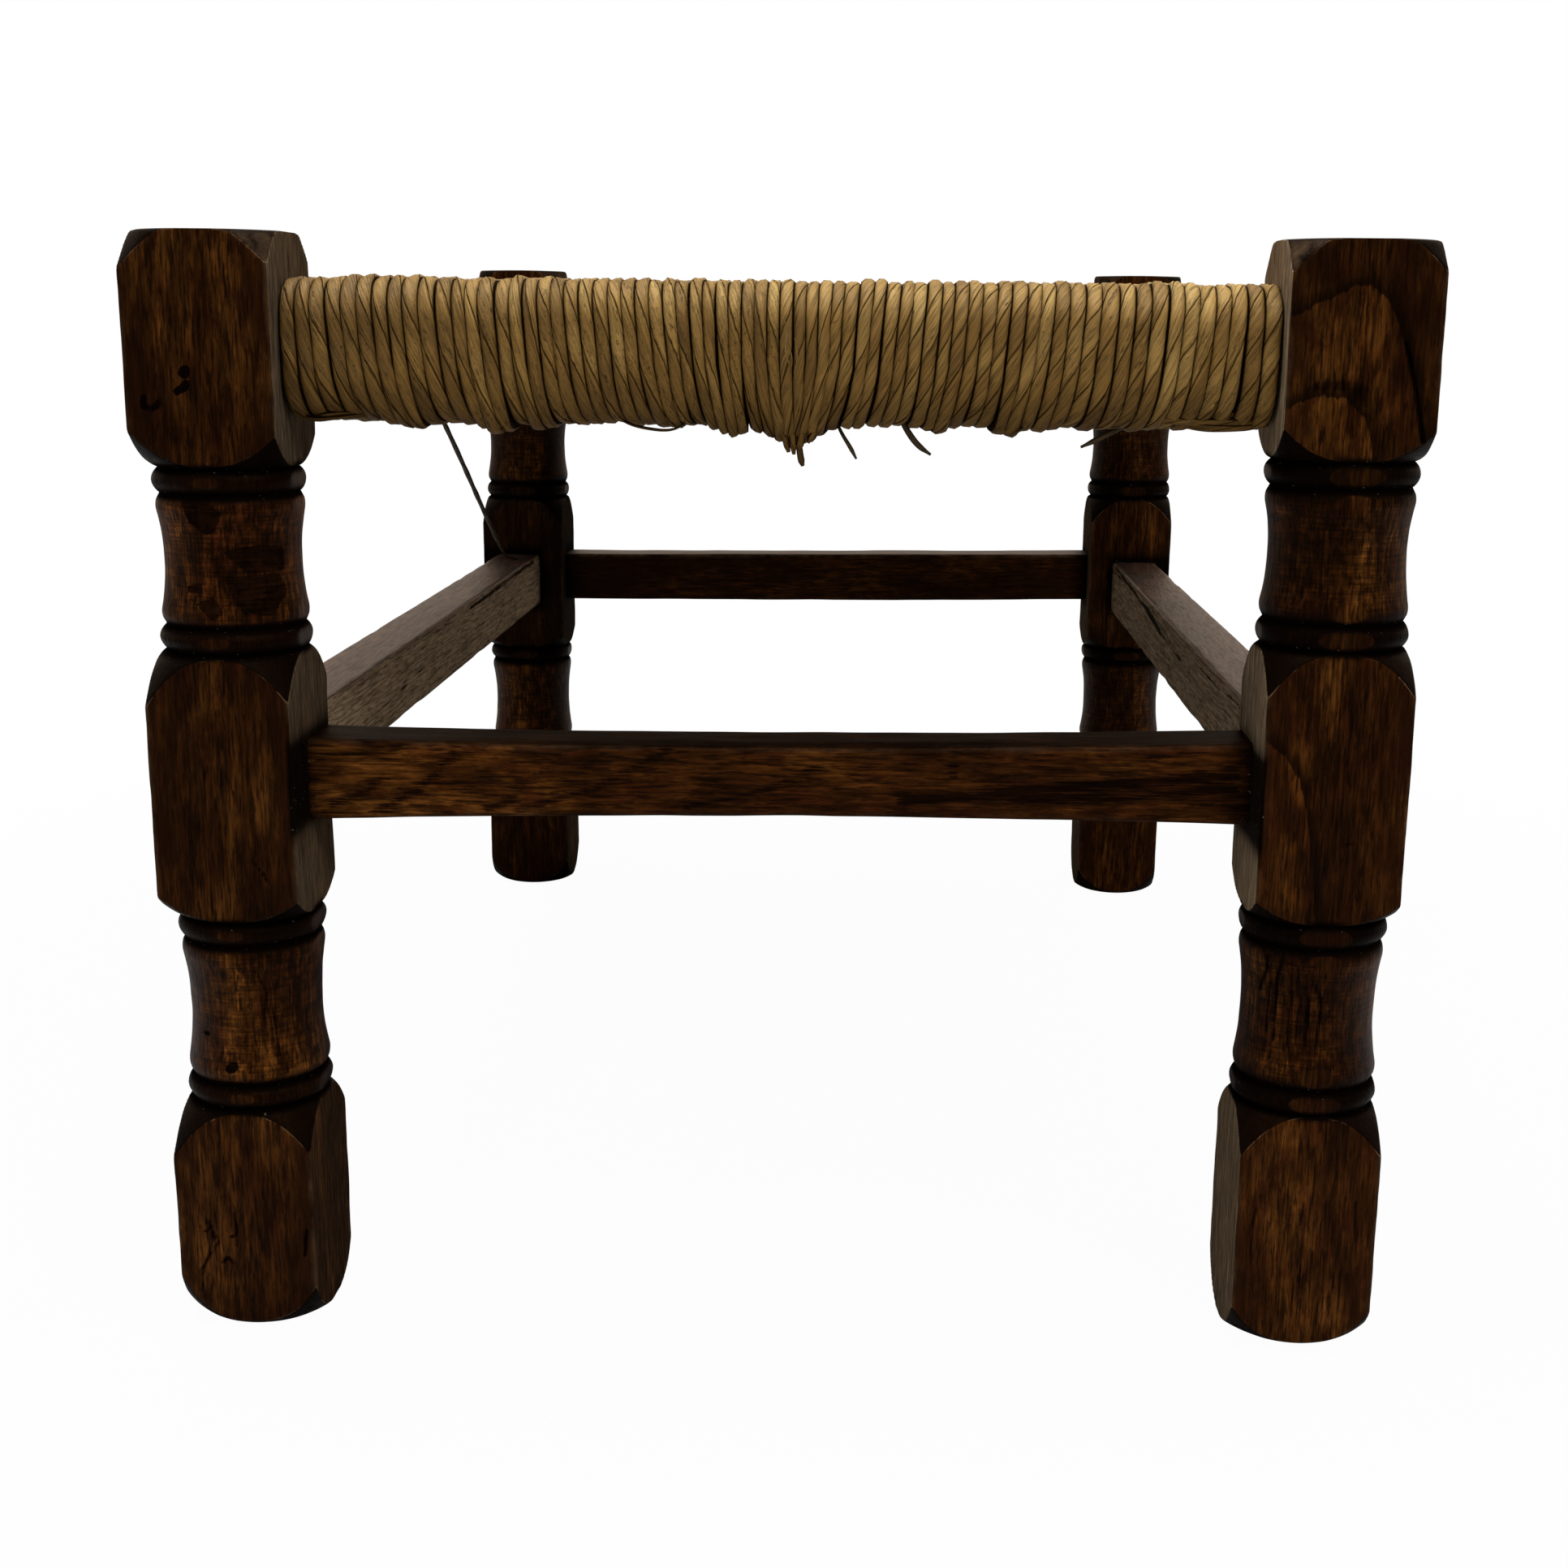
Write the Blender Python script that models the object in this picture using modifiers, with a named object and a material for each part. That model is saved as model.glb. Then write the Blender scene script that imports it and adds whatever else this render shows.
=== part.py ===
# Oblong oak stool with block-and-turned legs and a rush seat.
# Metres, +Z up, origin on the floor under the middle, +Y along the long side.

import math

import bmesh
import bpy
from mathutils import Matrix, Vector

# Overall size, over the outer faces and tops of the legs
WIDTH = 0.389
LENGTH = 0.588
HEIGHT = 0.352
LEG_SIDE = 0.045
LEG_ARRIS = 0.0012

# Lengths along a leg above the foot block, from the bottom up. The foot block takes the height that is left.
BEAD_WIDTH = 0.00785
LOWER_HOLLOW = 0.047
MIDDLE_BLOCK = 0.0856
UPPER_HOLLOW = 0.041
TOP_BLOCK = 0.0676

# Turned diameters
BEAD_DIAMETER = 0.0464
SWELL_DIAMETER = 0.0458
WAIST_DIAMETER = 0.0418
GROOVE_DIAMETER = 0.0430
SWELL_MARGIN = 0.0024

# Where the turning tool rounds the ends of the square blocks
FOOT_ROUND = 0.024
FOOT_FLAT_DIAMETER = 0.041
FOOT_SHOULDER = 0.034
MIDDLE_SHOULDER_BELOW = 0.018
MIDDLE_SHOULDER_ABOVE = 0.034
TOP_SHOULDER = 0.024
TOP_CHAMFER = 0.0135
TOP_FLAT_DIAMETER = 0.0515
TOP_EASE = 0.0014

# The legs were turned by hand: how far each one's turned lengths sit above the mean
TURNING_RISE = {
    "front_left": -0.003,
    "front_right": 0.003,
    "back_left": -0.001,
    "back_right": 0.003,
}

# Stretchers
STRETCHER_THICKNESS = 0.024
END_STRETCHER_HEIGHT = 0.024
SIDE_STRETCHER_HEIGHT = 0.028
STRETCHER_TOP_RISE = 0.010
STRETCHER_ARRIS = 0.0015
FRONT_STRETCHER_SETBACK = 0.018
STRETCHER_SETBACK = 0.008

# Seat rails
RAIL_HEIGHT = 0.0325
RAIL_THICKNESS = 0.020
RAIL_ROUND = 0.0085
RAIL_SETBACK = 0.0115
RAIL_DROP = 0.0185

# Tenons of rails and stretchers
TENON_LENGTH = 0.014
TENON_THICKNESS = 0.010
TENON_SHOULDER = 0.003

# Rush seat
RUSH_THICKNESS = 0.0052
SEAT_SAG = 0.004
SEAT_BELLY = 0.0015
KNOT_WIDTH = 0.032
KNOT_DEPTH = 0.024
KNOT_DROP = 0.0115
KNOT_OFFSET = 0.003
LOOSE_END_DIAMETER = 0.0014
STALK_DIAMETER = 0.0024
STALK_RUN = 0.182
STALK_FOOT_FROM_LEG = 0.040
STALK_TIP = 0.006

# Clearance between pieces that touch
FIT_GAP = 0.0003

# Fineness of round shapes
TURNING_STEPS = 20
ROUND_STEPS = 4
SAG_STEPS = 6
BEAD_STEPS = 4
HOLLOW_STEPS = 6
SHOULDER_STEPS = 7
ARRIS_STEPS = 1
KNOT_SEGMENTS = 16
KNOT_RINGS = 10
LOOSE_END_STEPS = 4
STALK_STEPS = 8

# Loose ends: distance along the front edge from the knot or the right leg, then the run as each one drops
LOOSE_ENDS = {
    "short_loose_end": ("knot", 0.001, (0.0075, -0.002, -0.0095)),
    "curved_loose_end": ("knot", 0.020, (0.0085, -0.003, -0.0100)),
    "tied_loose_end": ("leg", 0.040, (-0.0160, -0.004, -0.0062)),
}

SIDES = (("front", 0.0), ("right", 90.0), ("back", 180.0), ("left", -90.0))

# Finishes: colour and roughness
OAK_DARK = ((0.045, 0.026, 0.014), 0.5)
OAK_WORN = ((0.085, 0.048, 0.024), 0.55)
OAK_RAW = ((0.32, 0.21, 0.11), 0.6)
RUSH_TAN = ((0.36, 0.26, 0.12), 0.75)
RUSH_SCRAP = ((0.28, 0.21, 0.11), 0.8)

# How full a bead's crown is, and how a loose end droops: 1 is a sine and a straight line
BEAD_FULLNESS = 0.5
LOOSE_END_DROOP = 0.7

# The turning clears a block's corners, and a rail's rounding stays inside half its section
CORNER_CLEARANCE = 1.5
ROUND_LIMIT = 0.48

# Sizes that follow from the driving ones
LEG_HALF = LEG_SIDE / 2
FOOT_BLOCK = HEIGHT - LOWER_HOLLOW - MIDDLE_BLOCK - UPPER_HOLLOW - TOP_BLOCK - 4 * BEAD_WIDTH
BLOCK_RADIUS = LEG_HALF * CORNER_CLEARANCE
LOWER_TURNING_TOP = FOOT_BLOCK + LOWER_HOLLOW + 2 * BEAD_WIDTH
STRETCHER_TOP = LOWER_TURNING_TOP + MIDDLE_BLOCK / 2 + STRETCHER_TOP_RISE
RAIL_TOP = HEIGHT - RAIL_DROP
RAIL_BOTTOM = RAIL_TOP - RAIL_HEIGHT
RAIL_CORNER = min(RAIL_ROUND, ROUND_LIMIT * RAIL_THICKNESS, ROUND_LIMIT * RAIL_HEIGHT)
RUSH_OFFSET = RUSH_THICKNESS + FIT_GAP
SEAT_TOP = RAIL_TOP + RUSH_OFFSET
SEAT_BOTTOM = RAIL_BOTTOM - RUSH_OFFSET
ROLL_SETBACK = RAIL_SETBACK - RUSH_OFFSET
ROLL_CORNER = RAIL_CORNER + RUSH_OFFSET
HALF_WIDTH_INSIDE = WIDTH / 2 - LEG_SIDE
HALF_LENGTH_INSIDE = LENGTH / 2 - LEG_SIDE
SEAT_REACH = LEG_SIDE - ROLL_SETBACK + min(HALF_WIDTH_INSIDE, HALF_LENGTH_INSIDE)


def clear_scene():
    for item in list(bpy.data.objects):
        bpy.data.objects.remove(item, do_unlink=True)


def new_collection(name):
    collection = bpy.data.collections.new(name)
    bpy.context.scene.collection.children.link(collection)
    return collection


clear_scene()
PARTS = new_collection("rush_seated_stool")
CUTTERS = new_collection("stool_cutters")


def finish_material(name, finish):
    colour, roughness = finish
    material = bpy.data.materials.new(name)
    material.use_nodes = True
    shader = material.node_tree.nodes["Principled BSDF"]
    shader.inputs["Base Color"].default_value = (*colour, 1.0)
    shader.inputs["Roughness"].default_value = roughness
    shader.inputs["Metallic"].default_value = 0.0
    return material


def add_part(name, mesh, finish):
    part = bpy.data.objects.new(name, mesh)
    mesh.materials.clear()
    mesh.materials.append(finish_material(name + "_finish", finish))
    PARTS.objects.link(part)
    return part


def add_cutter(name, mesh):
    cutter = bpy.data.objects.new(name, mesh)
    CUTTERS.objects.link(cutter)
    cutter.hide_render = True
    cutter.display_type = "WIRE"
    return cutter


def add_boolean(part, cutter, operation):
    modifier = part.modifiers.new(cutter.name, "BOOLEAN")
    modifier.operation = operation
    modifier.solver = "EXACT"
    modifier.object = cutter


def add_round(part, width, segments):
    modifier = part.modifiers.new("round", "BEVEL")
    modifier.width = width
    modifier.segments = segments
    modifier.limit_method = "ANGLE"


def box_mesh(name, low, high, turn=Matrix()):
    low = Vector(low)
    high = Vector(high)
    shape = bmesh.new()
    bmesh.ops.create_cube(shape, size=1.0)
    bmesh.ops.scale(shape, vec=high - low, verts=shape.verts)
    bmesh.ops.translate(shape, vec=(low + high) / 2, verts=shape.verts)
    bmesh.ops.transform(shape, matrix=turn, verts=shape.verts)
    mesh = bpy.data.meshes.new(name)
    shape.to_mesh(mesh)
    shape.free()
    return mesh


def curve_to_mesh(curve_data, matrix):
    holder = bpy.data.objects.new(curve_data.name, curve_data)
    bpy.context.scene.collection.objects.link(holder)
    evaluated = holder.evaluated_get(bpy.context.evaluated_depsgraph_get())
    mesh = bpy.data.meshes.new_from_object(evaluated)
    shape = bmesh.new()
    shape.from_mesh(mesh)
    bmesh.ops.remove_doubles(shape, verts=shape.verts, dist=1e-6)
    bmesh.ops.transform(shape, matrix=matrix, verts=shape.verts)
    bmesh.ops.recalc_face_normals(shape, faces=shape.faces)
    shape.to_mesh(mesh)
    shape.free()
    bpy.data.objects.remove(holder)
    bpy.data.curves.remove(curve_data)
    return mesh


def outline_mesh(name, outline, low, high, matrix):
    # A flat outline extruded from low to high along its own normal
    curve = bpy.data.curves.new(name, "CURVE")
    curve.dimensions = "2D"
    curve.fill_mode = "BOTH"
    curve.extrude = (high - low) / 2
    spline = curve.splines.new("POLY")
    spline.points.add(len(outline) - 1)
    for point, (x, y) in zip(spline.points, outline):
        point.co = (x, y, 0.0, 1.0)
    spline.use_cyclic_u = True
    return curve_to_mesh(curve, matrix @ Matrix.Translation((0.0, 0.0, (low + high) / 2)))


def tube_mesh(name, points, diameter):
    curve = bpy.data.curves.new(name, "CURVE")
    curve.dimensions = "3D"
    curve.bevel_depth = diameter / 2
    curve.bevel_resolution = 2
    curve.use_fill_caps = True
    spline = curve.splines.new("POLY")
    spline.points.add(len(points) - 1)
    for point, place in zip(spline.points, points):
        point.co = (*place, 1.0)
    return curve_to_mesh(curve, Matrix())


def turn_about_z(angle):
    return Matrix.Rotation(math.radians(angle), 4, "Z")


# Legs

def shoulder(tip, corner, tip_radius):
    # Rounded end of a square block, from the groove out past the block's corners
    points = []
    for step in range(SHOULDER_STEPS + 1):
        angle = math.pi / 2 * step / SHOULDER_STEPS
        radius = tip_radius + (BLOCK_RADIUS - tip_radius) * math.sin(angle)
        points.append((radius, corner + (tip - corner) * math.cos(angle)))
    return points


def bead(bottom):
    points = []
    for step in range(1, BEAD_STEPS):
        share = step / BEAD_STEPS
        swell = math.sin(math.pi * share) ** BEAD_FULLNESS
        radius = GROOVE_DIAMETER / 2 + (BEAD_DIAMETER - GROOVE_DIAMETER) / 2 * swell
        points.append((radius, bottom + BEAD_WIDTH * share))
    return points


def hollow(bottom, length):
    points = []
    low = bottom + SWELL_MARGIN
    run = length - 2 * SWELL_MARGIN
    for step in range(HOLLOW_STEPS + 1):
        share = step / HOLLOW_STEPS
        swell = (2 * share - 1) ** 2
        radius = WAIST_DIAMETER / 2 + (SWELL_DIAMETER - WAIST_DIAMETER) / 2 * swell
        points.append((radius, low + run * share))
    return points


def turned_length(bottom, hollow_length):
    # Groove, bead, groove, hollow, groove, bead, groove, from the bottom up
    groove = GROOVE_DIAMETER / 2
    hollow_bottom = bottom + BEAD_WIDTH
    upper_bead = hollow_bottom + hollow_length
    points = [(groove, bottom)]
    points += bead(bottom)
    points.append((groove, hollow_bottom))
    points += hollow(hollow_bottom, hollow_length)
    points.append((groove, upper_bead))
    points += bead(upper_bead)
    points.append((groove, upper_bead + BEAD_WIDTH))
    return points


def block_ends(room, below, above):
    # Both rounded ends of a block, drawn in alike where the block is too short for them
    share = min(1.0, ROUND_LIMIT * 2 * room / (below + above))
    return below * share, above * share


def leg_profile(rise):
    groove = GROOVE_DIAMETER / 2
    foot_top = FOOT_BLOCK + rise
    middle_bottom = LOWER_TURNING_TOP + rise
    middle_top = middle_bottom + MIDDLE_BLOCK
    top_bottom = middle_top + UPPER_HOLLOW + 2 * BEAD_WIDTH
    foot_round, foot_shoulder = block_ends(foot_top, FOOT_ROUND, FOOT_SHOULDER)
    lower_end, upper_end = block_ends(MIDDLE_BLOCK, MIDDLE_SHOULDER_BELOW, MIDDLE_SHOULDER_ABOVE)
    top_shoulder, top_chamfer = block_ends(HEIGHT - top_bottom, TOP_SHOULDER, TOP_CHAMFER)
    points = [(0.0, 0.0)]
    points += shoulder(0.0, foot_round, FOOT_FLAT_DIAMETER / 2)
    points += shoulder(foot_top, foot_top - foot_shoulder, groove)[:0:-1]
    points += turned_length(foot_top, LOWER_HOLLOW)
    points += shoulder(middle_bottom, middle_bottom + lower_end, groove)[1:]
    points += shoulder(middle_top, middle_top - upper_end, groove)[:0:-1]
    points += turned_length(middle_top, UPPER_HOLLOW)
    points += shoulder(top_bottom, top_bottom + top_shoulder, groove)[1:]
    points.append((BLOCK_RADIUS, HEIGHT - top_chamfer))
    points.append((TOP_FLAT_DIAMETER / 2, HEIGHT - TOP_EASE))
    points.append((TOP_FLAT_DIAMETER / 2 - 2 * TOP_EASE, HEIGHT))
    points.append((0.0, HEIGHT))
    return points[::-1]


def profile_mesh(name, profile):
    mesh = bpy.data.meshes.new(name)
    places = [(radius, 0.0, height) for radius, height in profile]
    edges = [(index, index + 1) for index in range(len(places) - 1)]
    mesh.from_pydata(places, edges, [])
    return mesh


def make_leg(corner, mortises):
    name = corner + "_leg"
    leg = add_part(name, profile_mesh(name, leg_profile(TURNING_RISE[corner])), OAK_DARK)
    leg.location = (*leg_centre(corner), 0.0)
    screw = leg.modifiers.new("turning", "SCREW")
    screw.steps = TURNING_STEPS
    screw.render_steps = TURNING_STEPS
    screw.use_merge_vertices = True
    screw.merge_threshold = 0.00001
    screw.use_smooth_shade = True
    beyond = LEG_SIDE
    low = (-LEG_HALF, -LEG_HALF, -beyond)
    high = (LEG_HALF, LEG_HALF, HEIGHT + beyond)
    post = add_cutter(name + "_post", box_mesh(name + "_post", low, high))
    post.location = leg.location
    add_round(post, LEG_ARRIS, ARRIS_STEPS)
    add_boolean(leg, post, "INTERSECT")
    for mortise in mortises:
        add_boolean(leg, mortise, "DIFFERENCE")


def leg_centre(corner):
    end, side = corner.split("_")
    x = WIDTH / 2 - LEG_HALF
    y = LENGTH / 2 - LEG_HALF
    return (-x if side == "left" else x, -y if end == "front" else y)


# Bars between the legs: seat rails and stretchers.
# Each is laid out as for the front, along X with the outside at -Y, and turned to its side.

def half_spans(side):
    # Half the clear length between the legs, and half the stool across it
    if side in ("front", "back"):
        return HALF_WIDTH_INSIDE, LENGTH / 2
    return HALF_LENGTH_INSIDE, WIDTH / 2


def corner_at(side, end):
    ends = {
        "front": ("front_left", "front_right"),
        "right": ("front_right", "back_right"),
        "back": ("back_right", "back_left"),
        "left": ("back_left", "front_left"),
    }
    return ends[side][end]


def make_bar(name, side, angle, setback, thickness, bottom, top, round_width, round_steps, finish, mortises):
    half, outside = half_spans(side)
    turn = turn_about_z(angle)
    front = setback - outside
    back = front + thickness
    shoulder_end = half - FIT_GAP
    low = (-shoulder_end, front, bottom)
    high = (shoulder_end, back, top)
    bar = add_part(name, box_mesh(name, low, high, turn), finish)
    add_round(bar, round_width, round_steps)
    middle = (front + back) / 2
    tenon_half = TENON_THICKNESS / 2
    tenon_end = half + TENON_LENGTH
    tenon_low = bottom + TENON_SHOULDER
    tenon_high = top - TENON_SHOULDER
    low = (-tenon_end, middle - tenon_half, tenon_low)
    high = (tenon_end, middle + tenon_half, tenon_high)
    tenons = add_cutter(name + "_tenons", box_mesh(name + "_tenons", low, high, turn))
    add_boolean(bar, tenons, "UNION")
    for end, sign in enumerate((-1, 1)):
        near = sign * (half - TENON_SHOULDER)
        far = sign * (tenon_end + FIT_GAP)
        low = (min(near, far), middle - tenon_half - FIT_GAP, tenon_low - FIT_GAP)
        high = (max(near, far), middle + tenon_half + FIT_GAP, tenon_high + FIT_GAP)
        label = f"{name}_mortise_{end}"
        mortises[corner_at(side, end)].append(add_cutter(label, box_mesh(label, low, high, turn)))


def make_rail(side, angle, mortises):
    make_bar(side + "_seat_rail", side, angle, RAIL_SETBACK, RAIL_THICKNESS, RAIL_BOTTOM, RAIL_TOP,
             RAIL_CORNER, ROUND_STEPS, OAK_RAW, mortises)


def stretcher_size(side):
    if side in ("front", "back"):
        return END_STRETCHER_HEIGHT
    return SIDE_STRETCHER_HEIGHT


def stretcher_setback(side):
    return FRONT_STRETCHER_SETBACK if side == "front" else STRETCHER_SETBACK


def make_stretcher(side, angle, mortises):
    bottom = STRETCHER_TOP - stretcher_size(side)
    make_bar(side + "_stretcher", side, angle, stretcher_setback(side), STRETCHER_THICKNESS,
             bottom, STRETCHER_TOP, STRETCHER_ARRIS, ARRIS_STEPS, OAK_WORN, mortises)


# Rush seat

def ease(share):
    share = min(max(share, 0.0), 1.0)
    return share * share * (3 - 2 * share)


def seat_top_at(inward):
    return SEAT_TOP - SEAT_SAG * ease((inward - ROLL_CORNER) / (SEAT_REACH - ROLL_CORNER))


def seat_bottom_at(inward):
    return SEAT_BOTTOM - SEAT_BELLY * ease((inward - ROLL_CORNER) / (SEAT_REACH - ROLL_CORNER))


def layer_outline(inset, start=None):
    # Section of the seat, inset from its surface, from the middle over the top, round the roll and back.
    # With a start it begins with a flat face there instead of the roll.
    reach = SEAT_REACH + LEG_SIDE
    first = ROLL_CORNER if start is None else start
    steps = [first + (reach - first) * step / SAG_STEPS for step in range(SAG_STEPS + 1)]
    points = [(inward, seat_top_at(inward) - inset) for inward in reversed(steps)]
    if start is None:
        radius = ROLL_CORNER - inset
        for step in range(1, 2 * ROUND_STEPS + 2):
            quarter = 1 if step <= ROUND_STEPS else 2
            angle = math.pi / 2 * (quarter + (step - (quarter - 1) * (ROUND_STEPS + 1)) / ROUND_STEPS)
            height = SEAT_TOP - ROLL_CORNER if quarter == 1 else SEAT_BOTTOM + ROLL_CORNER
            points.append((ROLL_CORNER + radius * math.cos(angle), height + radius * math.sin(angle)))
        steps = steps[1:]
    points += [(inward, seat_bottom_at(inward) + inset) for inward in steps]
    return points


def sector_plan(side, clearance):
    # Plan of one sector: between the legs at the edge, then mitred to the ridge
    half, outside = half_spans(side)
    across = outside - LEG_SIDE
    slack = clearance * math.sqrt(0.5)
    edge = half - clearance
    depth = min(half - slack, across - clearance)
    mitre_start = clearance - slack - across
    ridge = half - slack - depth
    plan = [(-edge, -outside - LEG_SIDE), (edge, -outside - LEG_SIDE), (edge, mitre_start)]
    plan.append((ridge, depth - across))
    if ridge > clearance:
        plan.append((-ridge, depth - across))
    plan.append((-edge, mitre_start))
    return plan


def section_frame(side, angle):
    # Outline x runs inward from the roll's face, outline y up, and the extrusion along the rail
    outside = half_spans(side)[1]
    axes = Matrix(((0, 0, 1, 0), (1, 0, 0, 0), (0, 1, 0, 0), (0, 0, 0, 1)))
    return turn_about_z(angle) @ Matrix.Translation((0.0, ROLL_SETBACK - outside, 0.0)) @ axes


def make_sector_piece(name, side, angle, outline, clearance, finish):
    half = half_spans(side)[0]
    mesh = outline_mesh(name, outline, -half, half, section_frame(side, angle))
    piece = add_part(name, mesh, finish)
    label = name + "_plan"
    plan = outline_mesh(label, sector_plan(side, clearance), 0.0, HEIGHT, turn_about_z(angle))
    add_boolean(piece, add_cutter(label, plan), "INTERSECT")


def make_rush(side, angle):
    outside = layer_outline(0.0)
    inside = layer_outline(RUSH_THICKNESS)
    make_sector_piece(side + "_rush", side, angle, outside + inside[::-1], FIT_GAP, RUSH_TAN)


def make_stuffing(side, angle):
    start = RUSH_OFFSET + RAIL_THICKNESS + FIT_GAP
    outline = layer_outline(RUSH_OFFSET, start)
    make_sector_piece(side + "_stuffing", side, angle, outline, 2 * FIT_GAP, RUSH_SCRAP)


# Ends of rush under the seat

def make_knot():
    name = "tied_rush_knot"
    shape = bmesh.new()
    bmesh.ops.create_uvsphere(shape, u_segments=KNOT_SEGMENTS, v_segments=KNOT_RINGS, radius=1.0)
    size = (KNOT_WIDTH / 2, KNOT_DEPTH / 2, KNOT_DROP)
    centre = (KNOT_OFFSET, ROLL_SETBACK + ROLL_CORNER - LENGTH / 2, SEAT_BOTTOM)
    bmesh.ops.scale(shape, vec=size, verts=shape.verts)
    bmesh.ops.translate(shape, vec=centre, verts=shape.verts)
    mesh = bpy.data.meshes.new(name)
    shape.to_mesh(mesh)
    shape.free()
    mesh.shade_smooth()
    knot = add_part(name, mesh, RUSH_TAN)
    label = name + "_seat"
    frame = section_frame("front", 0.0)
    seat = outline_mesh(label, layer_outline(-FIT_GAP), -KNOT_WIDTH, KNOT_WIDTH, frame)
    add_boolean(knot, add_cutter(label, seat), "DIFFERENCE")


def make_loose_end(name, neighbour, distance, run):
    start_x = HALF_WIDTH_INSIDE - distance
    if neighbour == "knot":
        start_x = KNOT_OFFSET + KNOT_WIDTH / 2 + LOOSE_END_DIAMETER + distance
    start = Vector((start_x, ROLL_SETBACK + ROLL_CORNER - LENGTH / 2, SEAT_BOTTOM))
    start.z -= FIT_GAP + LOOSE_END_DIAMETER / 2
    run = Vector(run)
    points = []
    for step in range(LOOSE_END_STEPS + 1):
        share = step / LOOSE_END_STEPS
        points.append(start + Vector((run.x * share, run.y * share, run.z * share ** LOOSE_END_DROOP)))
    add_part(name, tube_mesh(name, points, LOOSE_END_DIAMETER), RUSH_TAN)


def make_stalk():
    # Leans from under the left edge of the seat down to the top of the left stretcher
    radius = STALK_DIAMETER / 2
    inset = STRETCHER_SETBACK + STRETCHER_THICKNESS / 2
    foot_y = LENGTH / 2 - LEG_SIDE - STALK_FOOT_FROM_LEG
    foot = Vector((inset - WIDTH / 2, foot_y, STRETCHER_TOP + FIT_GAP + radius))
    head_x = ROLL_SETBACK + ROLL_CORNER - WIDTH / 2
    head = Vector((head_x, foot_y - STALK_RUN, SEAT_BOTTOM - FIT_GAP - radius))
    tip = foot + Vector((STALK_TIP, STALK_TIP / 2, 0.0))
    points = [head.lerp(foot, step / STALK_STEPS) for step in range(STALK_STEPS + 1)]
    points.append(tip)
    add_part("stray_stalk", tube_mesh("stray_stalk", points, STALK_DIAMETER), RUSH_TAN)


def make_stool():
    mortises = {corner: [] for corner in TURNING_RISE}
    for side, angle in SIDES:
        make_rail(side, angle, mortises)
        make_stretcher(side, angle, mortises)
        make_rush(side, angle)
        make_stuffing(side, angle)
    for corner in TURNING_RISE:
        make_leg(corner, mortises[corner])
    make_knot()
    for name, (neighbour, distance, run) in LOOSE_ENDS.items():
        make_loose_end(name, neighbour, distance, run)
    make_stalk()


make_stool()
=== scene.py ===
import math
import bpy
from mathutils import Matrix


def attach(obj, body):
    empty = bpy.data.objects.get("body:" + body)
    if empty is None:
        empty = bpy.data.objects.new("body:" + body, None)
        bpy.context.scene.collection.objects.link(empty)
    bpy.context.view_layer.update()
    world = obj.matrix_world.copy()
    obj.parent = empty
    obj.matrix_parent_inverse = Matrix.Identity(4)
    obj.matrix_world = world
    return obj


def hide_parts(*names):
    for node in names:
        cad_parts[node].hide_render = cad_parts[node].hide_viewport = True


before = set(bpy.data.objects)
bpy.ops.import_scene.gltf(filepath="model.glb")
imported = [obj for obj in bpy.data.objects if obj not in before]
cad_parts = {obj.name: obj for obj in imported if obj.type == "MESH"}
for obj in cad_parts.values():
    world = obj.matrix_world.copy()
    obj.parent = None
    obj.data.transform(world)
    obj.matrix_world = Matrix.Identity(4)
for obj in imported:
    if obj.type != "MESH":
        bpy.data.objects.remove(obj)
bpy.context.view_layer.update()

from types import SimpleNamespace

import bmesh
import bpy
import numpy as np
from mathutils import Matrix, Vector, noise

scene = bpy.context.scene
scene.view_settings.view_transform = "Standard"


# camera, at the photograph's view of the short end

view = {
    "place": (0.03236, -0.90505, 0.32794),
    "turn": 1.787,
    "tilt": 77.128,
    "roll": 0.556,
    "lens": 46.79,
    "shift": (-0.0206, -0.0005),
}


def makeCamera():
    data = bpy.data.cameras.new("stoolCamera")
    data.sensor_width = 36.0
    data.lens = view["lens"]
    data.shift_x, data.shift_y = view["shift"]
    data.clip_start = 0.01
    camera = bpy.data.objects.new("stoolCamera", data)
    scene.collection.objects.link(camera)
    turn = Matrix.Rotation(math.radians(view["turn"]), 4, "Z")
    tilt = Matrix.Rotation(math.radians(view["tilt"]), 4, "X")
    roll = Matrix.Rotation(math.radians(view["roll"]), 4, "Z")
    camera.matrix_world = Matrix.Translation(view["place"]) @ turn @ tilt @ roll
    scene.camera = camera
    print("camera placed")


# small helpers for meshes and materials

def addPiece(name, mesh, material, slotName, *nodes):
    piece = bpy.data.objects.new(name, mesh)
    scene.collection.objects.link(piece)
    mesh.materials.clear()
    mesh.materials.append(material)
    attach(piece, "root")
    if nodes:
        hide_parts(*nodes)
    return piece


def meshFrom(bm, name):
    bmesh.ops.recalc_face_normals(bm, faces=bm.faces)
    for face in bm.faces:
        face.smooth = True
    mesh = bpy.data.meshes.new(name)
    bm.to_mesh(mesh)
    bm.free()
    return mesh


def ease(share):
    share = min(max(share, 0.0), 1.0)
    return share * share * (3.0 - 2.0 * share)


def bounded(value, reach):
    return min(max(value, -reach), reach)


def turnZ(degrees, size):
    return Matrix.Rotation(math.radians(degrees), size, "Z")


def newMaterial(name):
    material = bpy.data.materials.new(name)
    material.use_nodes = True
    return material, material.node_tree, material.node_tree.nodes["Principled BSDF"]


def addNode(tree, kind, links=None, values=None, **settings):
    made = tree.nodes.new(kind)
    for key, value in settings.items():
        setattr(made, key, value)
    for key, value in (values or {}).items():
        made.inputs[key].default_value = value
    for key, source in (links or {}).items():
        tree.links.new(source, made.inputs[key])
    return made


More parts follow.
